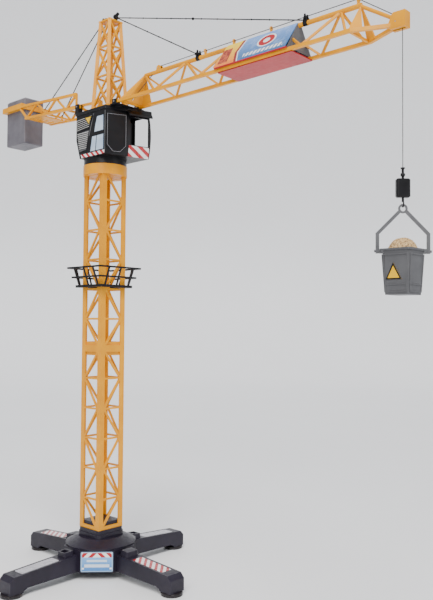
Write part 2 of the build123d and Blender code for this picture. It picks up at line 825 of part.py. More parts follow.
def lug_bracket(x, half_span, length, pin_z, chord):
    """A roof bracket with a two-cheeked lug on each side and a hole for its pin."""
    with BuildPart() as bracket:
        with BuildSketch(Plane.XY.offset(roof_top)) as plate:
            with Locations((x, 0)):
                RectangleRounded(length, 2 * half_span + chord + 4 * cheek_wall, 2.0)
            with Locations((rope_slot_x, 0)):
                Rectangle(*rope_slot, mode=Mode.SUBTRACT)
        extrude(plate.sketch, amount=1.5)
        for side in (-1, 1):
            for n in (-1, 1):
                y = side * half_span + n * (chord / 2 + seat_gap + cheek_wall / 2)
                with BuildSketch(Plane.XZ.offset(-y - cheek_wall / 2)) as cheek:
                    with Locations((x, (roof_top + 1.0 + pin_z + 4.0) / 2)):
                        Rectangle(cheek_length, pin_z + 4.0 - roof_top - 1.0)
                extrude(cheek.sketch, amount=cheek_wall)
        with BuildSketch(Plane.XZ.offset(-2 * half_span)) as bore:
            with Locations((x, pin_z)):
                Circle(jib_pin_radius + pin_gap)
        extrude(bore.sketch, amount=4 * half_span, mode=Mode.SUBTRACT)
    return bracket


jib_lugs = lug_bracket(jib_lug_x, jib_chord_y, 18.0, jib_chord_z, jib_chord)
write(jib_lugs, "jib_lugs")
counter_lugs = lug_bracket(counter_lug_x, counter_y, 12.0, counter_pin_z, counter_chord)
write(counter_lugs, "counter_jib_lugs")

with BuildPart() as lug_pins:
    for x, y, z, chord in ((jib_lug_x, jib_chord_y, jib_chord_z, jib_chord),
                           (counter_lug_x, counter_y, counter_pin_z, counter_chord)):
        half = chord / 2 + cheek_wall + 1.0
        for side in (-1, 1):
            with BuildSketch(Plane.XZ.offset(-side * y)) as pin:
                with Locations((x, z)):
                    Circle(jib_pin_radius)
            extrude(pin.sketch, amount=half, both=True)
write(lug_pins, "lug_pins")

# ---- jib ----------------------------------------------------------------------------------------
jib_split_x = jib_peak_x + jib_split_bay * jib_bay
root_wall = 2.0
peak = Vector(jib_peak_x, 0, jib_top_z)


def top_node(n):
    return Vector(jib_peak_x + n * jib_bay, 0, jib_top_z)


def bottom_node(n, side):
    return Vector(jib_peak_x + (n + 0.5) * jib_bay, side * jib_chord_y, jib_chord_z)


def jib_web_bays(first, last):
    for n in range(first, last):
        for side in (-1, 1):
            square_bar(top_node(n), bottom_node(n, side), jib_web)
            square_bar(bottom_node(n, side), top_node(n + 1), jib_web)


def cross_bar(x, z, half):
    square_bar(Vector(x, -half, z), Vector(x, half, z), jib_web)


def trim_at(x, side):
    """Cuts off what reaches past this x, towards +X or -X."""
    with BuildSketch(Plane.YZ.offset(x)) as face:
        with Locations((0, jib_top_z)):
            Rectangle(200, 200)
    extrude(face.sketch, amount=side * 30.0, mode=Mode.SUBTRACT)


def triangle_plate(a, b, c, wall):
    face = Plane(origin=a, x_dir=b - a, z_dir=(b - a).cross(c - a))
    with BuildSketch(face) as plate:
        Polygon(*[(face.to_local_coords(p).X, face.to_local_coords(p).Y) for p in (a, b, c)],
                align=None)
    extrude(plate.sketch, amount=wall / 2, both=True)


roller_centre = wheel_centre((rope_roof_point[0], 0, rope_roof_point[1]),
                             (rope_root_point[0], 0, rope_root_point[1]),
                             (rope_lug_point[0], 0, rope_lug_point[1]),
                             root_roller_radius + rope_radius + running_fit)
pulley_centre = wheel_centre((rope_lug_point[0], 0, rope_lug_point[1]),
                             (rope_tip_point[0], 0, rope_tip_point[1]),
                             (rope_tip_point[0], 0, rope_hang_z),
                             tip_pulley_radius + rope_radius + running_fit)
slot_width = wheel_width + 2 * gap

with BuildPart() as jib_inner_section:
    round_bar(Vector(jib_peak_x, 0, jib_top_z), Vector(jib_split_x, 0, jib_top_z), jib_top_radius)
    for side in (-1, 1):
        start = Vector(jib_lug_x - 4.0, side * jib_chord_y, jib_chord_z)
        square_bar(start, Vector(jib_split_x, side * jib_chord_y, jib_chord_z), jib_chord)
        foot = Vector(jib_root_x, side * jib_chord_y, jib_chord_z)
        inner = Vector(jib_peak_x - 12.0, side * jib_chord_y, jib_chord_z)
        triangle_plate(foot, inner, peak, root_wall)
        square_bar(foot, peak, jib_web)
    triangle_plate(Vector(jib_root_x, -jib_chord_y, jib_chord_z),
                   Vector(jib_root_x, jib_chord_y, jib_chord_z), peak, root_wall)
    cross_bar(jib_root_x + 2.0, jib_chord_z, jib_chord_y)
    jib_web_bays(0, jib_split_bay)
    for side in (-1, 1):
        y = side * (slot_width / 2 + 0.8)
        with BuildSketch(Plane.XZ.offset(-y)) as cheek:
            with Locations((roller_centre.X, roller_centre.Z)):
                Circle(root_roller_radius + 2.0)
            with Locations((roller_centre.X, jib_top_z)):
                Rectangle(12.0, 4.0)
        extrude(cheek.sketch, amount=0.8, both=True)
    with BuildSketch(Plane.XZ) as slot:
        rise = Vector(rope_root_point[0] - rope_roof_point[0], rope_root_point[1] - rope_roof_point[1])
        with Locations(((rope_roof_point[0] + rope_root_point[0]) / 2,
                        (rope_roof_point[1] + rope_root_point[1]) / 2)):
            Rectangle(rise.length, 4.0, rotation=math.degrees(math.atan2(rise.Y, rise.X)))
        with Locations((roller_centre.X, roller_centre.Z)):
            Circle(root_roller_radius + 1.5)
    extrude(slot.sketch, amount=slot_width / 2, both=True, mode=Mode.SUBTRACT)
    with BuildSketch(Plane.XZ) as axle_bore:
        with Locations((roller_centre.X, roller_centre.Z)):
            Circle(axle_radius)
    extrude(axle_bore.sketch, amount=10, both=True, mode=Mode.SUBTRACT)
    with BuildSketch(Plane.XZ) as pin_bore:
        with Locations((jib_lug_x, jib_chord_z)):
            Circle(jib_pin_radius)
    extrude(pin_bore.sketch, amount=2 * jib_chord_y, both=True, mode=Mode.SUBTRACT)
    trim_at(jib_split_x, 1)
write(jib_inner_section, "jib_inner_section")

with BuildPart() as jib_outer_section:
    round_bar(Vector(jib_split_x, 0, jib_top_z), Vector(jib_end_x, 0, jib_top_z), jib_top_radius)
    for side in (-1, 1):
        square_bar(Vector(jib_split_x, side * jib_chord_y, jib_chord_z),
                   Vector(jib_end_x, side * jib_chord_y, jib_chord_z), jib_chord)
    jib_web_bays(jib_split_bay, jib_bays)
    for side in (-1, 1):
        square_bar(top_node(jib_bays), Vector(jib_end_x - 2.0, side * jib_chord_y, jib_chord_z), jib_web)
    trim_at(jib_split_x, -1)
    trim_at(jib_end_x, 1)
write(jib_outer_section, "jib_outer_section")

tip_front = rope_tip_point[0] + 7.0
with BuildPart() as jib_tip:
    for side in (-1, 1):
        low = Vector(jib_end_x, side * jib_chord_y, jib_chord_z)
        square_bar(low, low + Vector(6.0, 0, 0), jib_chord)
        square_bar(low + Vector(5.0, 0, 0), Vector(tip_x, side * 4.0, jib_chord_z), jib_chord)
        triangle_plate(low + Vector(1.0, 0, 0), low + Vector(18.0, -side * 9.0, 0),
                       Vector(jib_end_x + 6.0, 0, jib_top_z), root_wall)
    round_bar(Vector(jib_end_x, 0, jib_top_z), Vector(jib_end_x + 7.0, 0, jib_top_z), jib_top_radius)
    round_bar(Vector(jib_end_x + 4.0, 0, jib_top_z), Vector(tip_x, 0, tip_block_top - 5.0), 2.6)
    cross_bar(jib_end_x + 3.0, jib_chord_z, jib_chord_y)
    with BuildSketch(Plane.XZ) as block:
        Polygon((tip_x - 2.0, tip_block_bottom), (tip_x - 4.0, tip_block_bottom + 8.0),
                (tip_x, tip_block_top - 3.0), (tip_x + 3.0, tip_block_top), (tip_front, tip_block_top),
                (tip_front, tip_block_bottom), align=None)
    extrude(block.sketch, amount=tip_block_width / 2, both=True)
    with BuildSketch(Plane.YZ.offset(jib_end_x + 1.0)) as lug:
        with Locations((0, rope_lug_point[1])):
            Circle(4.2)
        with Locations((0, jib_top_z + 5.0)):
            Rectangle(5.0, 8.0)
    extrude(lug.sketch, amount=2.0)
    with BuildSketch(Plane.XZ) as slot:
        Polygon((tip_x - 2.2, tip_block_bottom - 5.0), (tip_x - 2.2, tip_block_top + 1.0),
                (tip_front - 2.5, tip_block_top + 1.0), (tip_front - 2.5, tip_block_bottom - 5.0),
                align=None)
    extrude(slot.sketch, amount=slot_width / 2, both=True, mode=Mode.SUBTRACT)
    with BuildSketch(Plane.XZ) as bores:
        with Locations((pulley_centre.X, pulley_centre.Z)):
            Circle(axle_radius)
    extrude(bores.sketch, amount=20, both=True, mode=Mode.SUBTRACT)
    with BuildSketch(Plane.YZ.offset(jib_end_x - 10.0)) as eye:
        with Locations((0, rope_lug_point[1])):
            Circle(lug_hole_radius)
    extrude(eye.sketch, amount=20, mode=Mode.SUBTRACT)
write(jib_tip, "jib_tip")

# ---- banner round the jib -----------------------------------------------------------------------
web_drop = Vector(0, jib_chord_y, jib_chord_z - jib_top_z)
web_length = web_drop.length
banner_lift = jib_top_radius + banner_wall / 2 + gap
banner_clip_x = (banner_start_x + 14.0, banner_end_x - 28.0)
chord_top = jib_chord_z + jib_chord / 2


def banner_panel(side):
    """A sloping sign panel outside one web of the jib, clipped onto the lower chord."""
    down = Vector(0, side * web_drop.Y, web_drop.Z).normalized()
    out = Vector(0, -side * down.Z, abs(down.Y)).normalized()
    face = Plane(origin=peak + out * banner_lift, x_dir=(1, 0, 0), z_dir=out)
    drop = (peak.Z + (out * banner_lift).Z - chord_top) / abs(down.Z)
    sense = 1 if face.y_dir.dot(down) > 0 else -1
    with BuildPart() as panel:
        start, end = banner_start_x - peak.X, banner_end_x - peak.X
        with BuildSketch(face) as sheet:
            Polygon((start, 0), (end, 0), (end - 4.0, sense * drop), (start - 6.0, sense * drop),
                    (start - 10.0, sense * (drop - 5.0)), align=None)
        extrude(sheet.sketch, amount=banner_wall / 2, both=True)
        for x in banner_clip_x:
            with BuildSketch(Plane.XY.offset(chord_top)) as clip:
                with Locations((x, side * (jib_chord_y + 1.0))):
                    Rectangle(10.0, 6.5)
            extrude(clip.sketch, amount=banner_wall)
        with BuildSketch(Plane.XY.offset(chord_top)) as under:
            Rectangle(3 * banner_end_x, 300)
        extrude(under.sketch, amount=-5.0, mode=Mode.SUBTRACT)
    return panel


banner_near = banner_panel(-1)
write(banner_near, "banner_near_panel")
banner_far = banner_panel(1)
write(banner_far, "banner_far_panel")

chord_bottom = jib_chord_z - jib_chord / 2
with BuildPart() as banner_floor:
    with BuildSketch(Plane.XY.offset(chord_bottom)) as sheet:
        with Locations(((banner_start_x + banner_end_x) / 2 + 2.0, 0)):
            RectangleRounded(banner_end_x - banner_start_x + 8.0, 2 * jib_chord_y, 2.0)
    extrude(sheet.sketch, amount=-1.5)
write(banner_floor, "banner_floor")

# ---- guides, lugs and stays ---------------------------------------------------------------------
guide_width = 5.0
guide_places = (stay_foot_short + 14.0, jib_split_x + 3.0, jib_split_x + 75.0)


def rope_height(x):
    """Height of the rope above the jib between its root roller and its end lug."""
    share = (x - rope_root_point[0]) / (rope_lug_point[0] - rope_root_point[0])
    return rope_root_point[1] + share * (rope_lug_point[1] - rope_root_point[1])


with BuildPart() as rope_guides:
    for x in guide_places:
        with BuildSketch(Plane.YZ.offset(x)) as guide:
            with Locations((0, rope_height(x))):
                Circle(guide_width / 2 + 0.5)
            with Locations((0, (jib_top_z + jib_top_radius + rope_height(x)) / 2 - 0.5)):
                Rectangle(guide_width - 1.0, rope_height(x) - jib_top_z - jib_top_radius + 1.6)
            with Locations((0, rope_height(x))):
                Circle(lug_hole_radius, mode=Mode.SUBTRACT)
        extrude(guide.sketch, amount=2.0)
    with BuildSketch(Plane.XZ) as chord:
        with Locations(((guide_places[0] + guide_places[-1]) / 2, jib_top_z)):
            Rectangle(3 * jib_bay, 2 * jib_top_radius)
    extrude(chord.sketch, amount=jib_top_radius, both=True, mode=Mode.SUBTRACT)
write(rope_guides, "rope_guides")

stay_clip_half = 3.0
stay_foot_y = stay_clip_half + clip_wall / 2 + gap + stay_radius
with BuildPart() as stay_lugs:
    for x in (stay_foot_short, stay_foot_long):
        for side in (-1, 1):
            with BuildSketch(Plane.XZ.offset(-side * stay_clip_half)) as cheek:
                Polygon((x - 4, jib_top_z), (x + 4, jib_top_z), (x + 3, jib_top_z + 6.0),
                        (x + 1, jib_top_z + 13.0), (x - 1, jib_top_z + 13.0), (x - 2, jib_top_z + 8.0),
                        align=None)
            extrude(cheek.sketch, amount=clip_wall / 2, both=True)
        with BuildSketch(Plane.XZ) as pin:
            with Locations((x, jib_top_z + lug_pin_lift)):
                Circle(stay_pin_radius)
        extrude(pin.sketch, amount=stay_foot_y + stay_radius + gap, both=True)
        round_bar(Vector(x - 3.5, 0, jib_top_z), Vector(x + 3.5, 0, jib_top_z), stay_clip_half + 0.7)
        round_bar(Vector(x - 5.0, 0, jib_top_z), Vector(x + 5.0, 0, jib_top_z), jib_top_radius)
    for x in (stay_foot_short, stay_foot_long):
        with BuildSketch(Plane.YZ.offset(x - 10.0)) as bore:
            with Locations((0, jib_top_z)):
                Circle(jib_top_radius)
        extrude(bore.sketch, amount=20.0, mode=Mode.SUBTRACT)
write(stay_lugs, "stay_lugs")


def bead(point, radius):
    with Locations(point):
        Sphere(radius)


def stay_eye(point, radius):
    with BuildSketch(Plane.XZ.offset(-point.Y)) as eye:
        with Locations((point.X, point.Z)):
            Circle(radius)
    extrude(eye.sketch, amount=stay_radius, both=True)


stay_eye_radius = stay_pin_radius + 1.5


def stay(start, end, beads, big_bead_share, has_lower_eye):
    """A moulded stay between two pins, with small beads along it."""
    line = end - start
    with BuildPart() as rod:
        round_bar(start, end, stay_radius)
        for n in range(1, beads + 1):
            bead(start + line * (n / (beads + 1)), stay_radius * 1.5)
        if big_bead_share:
            bead(start + line * big_bead_share, stay_radius * 2.6)
        for point in (start, end) if has_lower_eye else (start,):
            stay_eye(point, stay_eye_radius)
            with BuildSketch(Plane.XZ.offset(-point.Y)) as bore:
                with Locations((point.X, point.Z)):
                    Circle(stay_pin_radius + running_fit)
            extrude(bore.sketch, amount=3.0, both=True, mode=Mode.SUBTRACT)
    return rod


def front_stay(foot_x, side, beads, big_bead_share):
    head = Vector(head_x + hook_offset, side * stay_head_y, head_top + hook_pin_lift)
    foot = Vector(foot_x, side * stay_foot_y, jib_top_z + lug_pin_lift)
    return stay(head, foot, beads, big_bead_share, True)


short_front_stay = front_stay(stay_foot_short, -1, 6, 0.0)
write(short_front_stay, "short_front_stay")
long_front_stay = front_stay(stay_foot_long, 1, 11, 0.455)
write(long_front_stay, "long_front_stay")

# ---- counter-jib --------------------------------------------------------------------------------
counter_tan = math.tan(math.radians(counter_slope))
floor_plate_length = 52.0
anchor_x = -163.0
anchor_y = 22.0
anchor_top = 845.0


def counter_point(x, side, lift=0.0):
    """A point on the counter-jib's lower chord, or this far above it."""
    return Vector(x, side * counter_y, counter_pin_z + (counter_lug_x - x) * counter_tan + lift)


weight_draft = 1.5
weight_gap = seat_gap
band_z = counter_point(ballast_x, 1, counter_rise).Z
with BuildPart() as counter_jib_frame:
    root_x, end_x = counter_lug_x + 4.0, counter_end_x
    first = counter_lug_x - cheek_length / 2 - counter_web / 2 - gap
    tops = [first - n * counter_pitch for n in range(3)]
    lows = [first - (n + 0.5) * counter_pitch for n in range(2)] + [counter_end_x + 5.0]
    for side in (-1, 1):
        square_bar(counter_point(root_x, side), counter_point(end_x, side), counter_chord)
        square_bar(counter_point(first, side, counter_rise),
                   counter_point(ballast_band_start - 2.0, side, counter_rise), counter_chord)
        square_bar(counter_point(first, side), counter_point(first, side, counter_rise), counter_web)
        for n in range(3):
            square_bar(counter_point(tops[n], side, counter_rise), counter_point(lows[n], side),
                       counter_web)
        for n in range(2):
            square_bar(counter_point(lows[n], side), counter_point(tops[n + 1], side, counter_rise),
                       counter_web)
        square_bar(counter_point(lows[2], side), counter_point(ballast_band_start - 10.0, side,
                   counter_rise), counter_web)
    for x in [first] + lows:
        square_bar(counter_point(x, -1), counter_point(x, 1), counter_web)
    plate_end = counter_point(counter_end_x + 2.0, 0)
    plate_start = counter_point(counter_end_x + 2.0 + floor_plate_length, 0)
    square_bar(plate_end, plate_start, 2 * counter_y, 2.0)
    with BuildSketch(Plane.XY.offset(plate_end.Z - 12.0)) as slots:
        for n in (-1, 0, 1):
            with Locations((plate_end.X + floor_plate_length * 0.36, n * 15.0)):
                SlotOverall(20.0, 6.0)
    extrude(slots.sketch, amount=14.0, mode=Mode.SUBTRACT)
    with BuildSketch(Plane.XY.offset(band_z - ballast_band_height / 2)) as band:
        with Locations(((ballast_band_start + ballast_band_end) / 2, 0)):
            Rectangle(ballast_band_start - ballast_band_end, 2 * counter_y + counter_chord)
            Rectangle(ballast_length + 2 * weight_gap, ballast_width + 2 * weight_gap,
                      mode=Mode.SUBTRACT)
    extrude(band.sketch, amount=ballast_band_height)
    for side in (-1, 1):
        low = counter_point(anchor_x, 0)
        square_bar(Vector(anchor_x, side * anchor_y, low.Z - 0.5),
                   Vector(anchor_x, side * anchor_y, anchor_top), counter_web)
    with BuildSketch(Plane.XZ) as pin_bore:
        with Locations((counter_lug_x, counter_pin_z)):
            Circle(jib_pin_radius)
    extrude(pin_bore.sketch, amount=2 * counter_y, both=True, mode=Mode.SUBTRACT)
write(counter_jib_frame, "counter_jib_frame")

with BuildPart() as counterweight:
    with BuildSketch(Plane.XY.offset(ballast_bottom)):
        with Locations(((ballast_band_start + ballast_band_end) / 2, 0)):
            RectangleRounded(ballast_length, ballast_width, 3.0)
    extrude(amount=ballast_top - ballast_bottom)
    chamfer(counterweight.edges().group_by(Axis.Z)[-1], 3.0)
    chamfer(counterweight.edges().group_by(Axis.Z)[0], 1.5)
    for side in (-1, 1):
        with BuildSketch(Plane.XZ.offset(-side * (ballast_width / 2 - 1.0))) as ledge:
            with Locations(((ballast_band_start + ballast_band_end) / 2,
                            band_z + ballast_band_height / 2 + 1.0)):
                Rectangle(ballast_length * 0.6, 2.0)
        extrude(ledge.sketch, amount=-side * 4.0)
write(counterweight, "counterweight")

rear_head = Vector(head_x - hook_offset, 0, head_top + hook_pin_lift)
rear_foot = Vector(anchor_x, 0, anchor_top - 3.0)
with BuildPart() as rear_stays:
    for side in (-1, 1):
        rod = stay(rear_head + Vector(0, side * stay_head_y, 0), rear_foot + Vector(0, side * anchor_y, 0),
                   4, 0.0, False)
        add(rod.part)
    with BuildSketch(Plane.YZ.offset(anchor_x + counter_web / 2)) as face:
        with Locations((0, anchor_top)):
            Rectangle(4 * anchor_y, 60.0)
    extrude(face.sketch, amount=-20.0, mode=Mode.SUBTRACT)
write(rear_stays, "rear_stays")

# ---- winch and motors ---------------------------------------------------------------------------
flange_wall = 1.5
shaft_radius = 2.0
drum_half = drum_width / 2 + flange_wall
cheek_inner = drum_half + gap
shaft_half = cheek_inner + cheek_wall + 2.5


def winch_cylinder(radius, start, length, mode=Mode.ADD):
    """A cylinder on the winch's axis, from y = start."""
    with BuildSketch(Plane.XZ.offset(-start)) as disc:
        with Locations((drum_x, drum_z)):
            Circle(radius)
    extrude(disc.sketch, amount=-length, mode=mode)


with BuildPart() as winch_drum:
    winch_cylinder(drum_radius, -drum_half, 2 * drum_half)
    winch_cylinder(drum_flange, -drum_half, flange_wall)
    winch_cylinder(drum_flange, drum_half - flange_wall, flange_wall)
    winch_cylinder(shaft_radius, -shaft_half, 2 * shaft_half)
write(winch_drum, "winch_drum")

frame_half = 9.0
with BuildPart() as winch_frame:
    with BuildSketch(Plane.XY.offset(floor_top)) as foot:
        with Locations((drum_x, 0)):
            Rectangle(2 * frame_half, 2 * (cheek_inner + cheek_wall))
        Circle(bolt_head_radius + 1.0, mode=Mode.SUBTRACT)
    extrude(foot.sketch, amount=2.0)
    for side in (-1, 1):
        with BuildSketch(Plane.XZ.offset(-side * (cheek_inner + cheek_wall / 2))) as cheek:
            Polygon((drum_x - frame_half, floor_top), (drum_x + frame_half, floor_top),
                    (drum_x + 5.0, drum_z + 5.0), (drum_x - 5.0, drum_z + 5.0), align=None)
        extrude(cheek.sketch, amount=cheek_wall / 2, both=True)
    winch_cylinder(shaft_radius + running_fit, -40.0, 80.0, Mode.SUBTRACT)
write(winch_frame, "winch_frame")

motor_radius = 10.0
motor_length = 22.0
with BuildPart() as winch_motor:
    winch_cylinder(motor_radius, cheek_inner + cheek_wall, motor_length)
    winch_cylinder(shaft_radius + running_fit, cheek_inner + cheek_wall, 3.0, Mode.SUBTRACT)
write(winch_motor, "winch_motor")

slew_motor_side = 17.0
slew_motor_height = 24.0
with BuildPart() as slew_motor:
    with BuildSketch(Plane.XY.offset(floor_top)):
        with Locations((0, gear_distance + 1.0)):
            RectangleRounded(slew_motor_side, slew_motor_side, 3.0)
    extrude(amount=slew_motor_height)
    with BuildSketch(Plane.XY.offset(floor_top)) as bore:
        with Locations((0, gear_distance)):
            Circle(pinion_shaft_radius + running_fit)
    extrude(bore.sketch, amount=4.0 + gap, mode=Mode.SUBTRACT)
write(slew_motor, "slew_motor")

# ---- rope and its wheels ------------------------------------------------------------------------
groove_width = 1.8
wheel_flange = 1.5


def rope_wheel(centre, radius, flange):
    with BuildPart() as wheel:
        for r, width in ((radius, wheel_width), (radius + flange, wheel_width)):
            with BuildSketch(Plane.XZ) as disc:
                with Locations((centre.X, centre.Z)):
                    Circle(r)
            extrude(disc.sketch, amount=width / 2, both=True)
        with BuildSketch(Plane.XZ) as groove:
            with Locations((centre.X, centre.Z)):
                Circle(radius + flange + 1.0)
                Circle(radius, mode=Mode.SUBTRACT)
        extrude(groove.sketch, amount=groove_width / 2, both=True, mode=Mode.SUBTRACT)
        with BuildSketch(Plane.XZ) as bore:
            with Locations((centre.X, centre.Z)):
                Circle(axle_radius + running_fit)
        extrude(bore.sketch, amount=wheel_width, both=True, mode=Mode.SUBTRACT)
    return wheel


root_roller = rope_wheel(roller_centre, root_roller_radius, 0.8)
write(root_roller, "root_roller")
tip_pulley = rope_wheel(pulley_centre, tip_pulley_radius, wheel_flange)
write(tip_pulley, "tip_pulley")

with BuildPart() as wheel_axles:
    for centre, half in ((roller_centre, slot_width / 2 + 1.6), (pulley_centre, tip_block_width / 2)):
        with BuildSketch(Plane.XZ) as pin:
            with Locations((centre.X, centre.Z)):
                Circle(axle_radius)
        extrude(pin.sketch, amount=half, both=True)
write(wheel_axles, "wheel_axles")

rope_turn = math.atan2(rope_roof_point[1] - drum_z, rope_roof_point[0] - drum_x)
rope_lift = drum_radius + rope_radius + seat_gap
rope_reach = math.hypot(rope_roof_point[0] - drum_x, rope_roof_point[1] - drum_z)
rope_turn = rope_turn - math.asin(rope_lift / rope_reach)
rope_start = (drum_x - rope_lift * math.sin(rope_turn), drum_z + rope_lift * math.cos(rope_turn))
rope_bends = [20.0, root_roller_radius + rope_radius + running_fit, 5 * rope_radius,
              tip_pulley_radius + rope_radius + running_fit]
rope_route = [rope_start, rope_roof_point, rope_root_point, rope_lug_point, rope_tip_point,
              (rope_tip_point[0], rope_hang_z)]
with BuildPart() as hoist_rope_run:
    with BuildLine():
        route = FilletPolyline(*[(x, 0, z) for x, z in rope_route], radius=rope_bends)
    with BuildSketch(Plane(origin=route @ 0, z_dir=route % 0)):
        Circle(rope_radius)
    sweep()
write(hoist_rope_run, "hoist_rope_run")
print("rope run length", round(route.length, 1), "volume over section",
      round(hoist_rope_run.part.volume / (math.pi * rope_radius**2), 1), "bends", rope_bends)

rope_drop_top = rope_hang_z - gap
rope_x = rope_tip_point[0]
with BuildPart() as hoist_rope_drop:
    with BuildSketch(Plane.XY.offset(rope_end_z)):
        with Locations((rope_x, 0)):
            Circle(rope_radius)
    extrude(amount=rope_drop_top - rope_end_z)
write(hoist_rope_drop, "hoist_rope_drop")

# ---- hook ---------------------------------------------------------------------------------------
bail_turn = math.radians(bail_yaw)
pin_way = Vector(math.cos(bail_turn), math.sin(bail_turn), 0)
hook_way = Vector(math.sin(bail_turn), -math.cos(bail_turn), 0)


def hang_plane(z):
    """Level plane at the rope, with its x along the bucket's pins."""
    return Plane(origin=(rope_x, 0, z), x_dir=pin_way, z_dir=(0, 0, 1))


bail_plane = Plane(origin=(rope_x, 0, 0), x_dir=pin_way, z_dir=hook_way)
knot_radius = 3.0
with BuildPart() as hook_block:
    with BuildSketch(hang_plane(block_bottom)):
        RectangleRounded(block_width, block_depth, 3.0)
    extrude(amount=block_top - block_bottom)
    chamfer(hook_block.edges().group_by(Axis.Z)[-1], 1.5)
    chamfer(hook_block.edges().group_by(Axis.Z)[0], 1.5)
    with BuildSketch(hang_plane(block_top - 1.0)) as neck:
        Circle(1.6)
    extrude(neck.sketch, amount=rope_end_z - gap - block_top - 1.0)
    with Locations((rope_x, 0, block_top + 5.0)):
        Sphere(knot_radius)
    with BuildSketch(hang_plane(rope_end_z - gap - 2.0)) as washer:
        Circle(2.8)
    extrude(washer.sketch, amount=1.5)
    with BuildSketch(hang_plane(block_bottom)) as bore:
        Circle(shank_radius + running_fit)
    extrude(bore.sketch, amount=shank_depth, mode=Mode.SUBTRACT)
write(hook_block, "hook_block")

with BuildPart() as hook:
    with BuildSketch(hang_plane(hook_centre_z + hook_radius)) as shank:
        Circle(shank_radius)
    extrude(shank.sketch, amount=block_bottom + shank_depth - gap - hook_centre_z - hook_radius)
    hook_top = Vector(rope_x, 0, hook_centre_z + hook_radius)
    with BuildSketch(Plane(origin=hook_top, x_dir=(0, 0, 1), z_dir=hook_way)) as wire:
        Circle(hook_wire)
    revolve(wire.sketch, axis=Axis((rope_x, 0, hook_centre_z), pin_way), revolution_arc=hook_sweep)
    with Locations(hook_top):
        Sphere(shank_radius)
write(hook, "hook")

# ---- bail and bucket ----------------------------------------------------------------------------
ring_z = hook_centre_z - (hook_radius - hook_wire) + gap + gap / 6 - bail_ring_inner
pin_inner = bucket_rim_side / math.sqrt(2) - 1.0
with BuildPart() as bail:
    with BuildSketch(bail_plane) as ring:
        with Locations((0, ring_z)):
            Circle(bail_ring_outer)
            Circle(bail_ring_inner, mode=Mode.SUBTRACT)
    extrude(ring.sketch, amount=bail_ring_depth / 2, both=True)
    for side in (-1, 1):
        with BuildSketch(bail_plane) as arm:
            with BuildLine():
                Polyline((side * 4.0, ring_z - 3.2), (side * bail_shoulder_half, bail_shoulder_z),
                         (side * bail_shoulder_half, bucket_pin_z - 3.0))
            trace(line_width=bail_bar)
            with Locations((side * bail_shoulder_half, bucket_pin_z)):
                Circle(bail_bar / 2 + 0.5)
        extrude(arm.sketch, amount=bail_depth / 2, both=True)
        out = pin_way * side
        start = Vector(rope_x, 0, bucket_pin_z) + out * pin_inner
        round_bar(start, start + out * (bail_shoulder_half + 4.0 - pin_inner), pin_radius)
    with BuildSketch(bail_plane) as hole:
        with Locations((0, ring_z)):
            Circle(bail_ring_inner)
    extrude(hole.sketch, amount=5.0, both=True, mode=Mode.SUBTRACT)
write(bail, "bail")

bucket_height = bucket_rim_z - bucket_bottom_z
bucket_taper = -math.degrees(math.atan2((bucket_rim_side - bucket_bottom_side) / 2, bucket_height))
corner_radius = 2.5
rim_lip = 1.2


def bucket_square(side, radius):
    RectangleRounded(side, side, radius, rotation=45)


with BuildPart() as bucket:
    with BuildSketch(hang_plane(bucket_bottom_z)) as foot:
        bucket_square(bucket_bottom_side, corner_radius)
    extrude(foot.sketch, amount=bucket_height, taper=bucket_taper)
    with BuildSketch(hang_plane(bucket_rim_z - 2.5)) as rim:
        bucket_square(bucket_rim_side + 2 * rim_lip, corner_radius + rim_lip)
    extrude(rim.sketch, amount=2.5)
    for side in (-1, 1):
        with BuildSketch(bail_plane) as ear:
            with Locations((side * (pin_inner - 0.8), bucket_pin_z)):
                Rectangle(5.6, 6.0)
        extrude(ear.sketch, amount=3.2, both=True)
    with BuildSketch(hang_plane(bucket_bottom_z + bucket_wall)) as hollow:
        bucket_square(bucket_bottom_side - 2 * bucket_wall, corner_radius - 1.5)
    extrude(hollow.sketch, amount=bucket_height, taper=bucket_taper, mode=Mode.SUBTRACT)
    start = Vector(rope_x, 0, bucket_pin_z) - pin_way * 40.0
    with BuildSketch(Plane(origin=start, z_dir=pin_way)) as bore:
        Circle(pin_radius + running_fit)
    extrude(bore.sketch, amount=80.0, mode=Mode.SUBTRACT)
write(bucket, "bucket")

sand_depth = 24.0
sand_slope = 52.0
sand_corner = 4.5
with BuildPart() as sand_load:
    fill_side = bucket_rim_side - 2 * bucket_wall - 2 * gap
    shrink = 2 * sand_depth * math.tan(math.radians(-bucket_taper))
    with BuildSketch(hang_plane(bucket_rim_z - sand_depth)) as fill:
        bucket_square(fill_side - shrink, sand_corner)
    extrude(fill.sketch, amount=sand_depth, taper=bucket_taper)
    with BuildSketch(hang_plane(bucket_rim_z)) as heap:
        bucket_square(fill_side, sand_corner)
    extrude(heap.sketch, amount=sand_top_z - bucket_rim_z, taper=sand_slope)
write(sand_load, "sand_load")
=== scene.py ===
import json
import math
import random

import bmesh
import bpy
from mathutils import Matrix, Vector


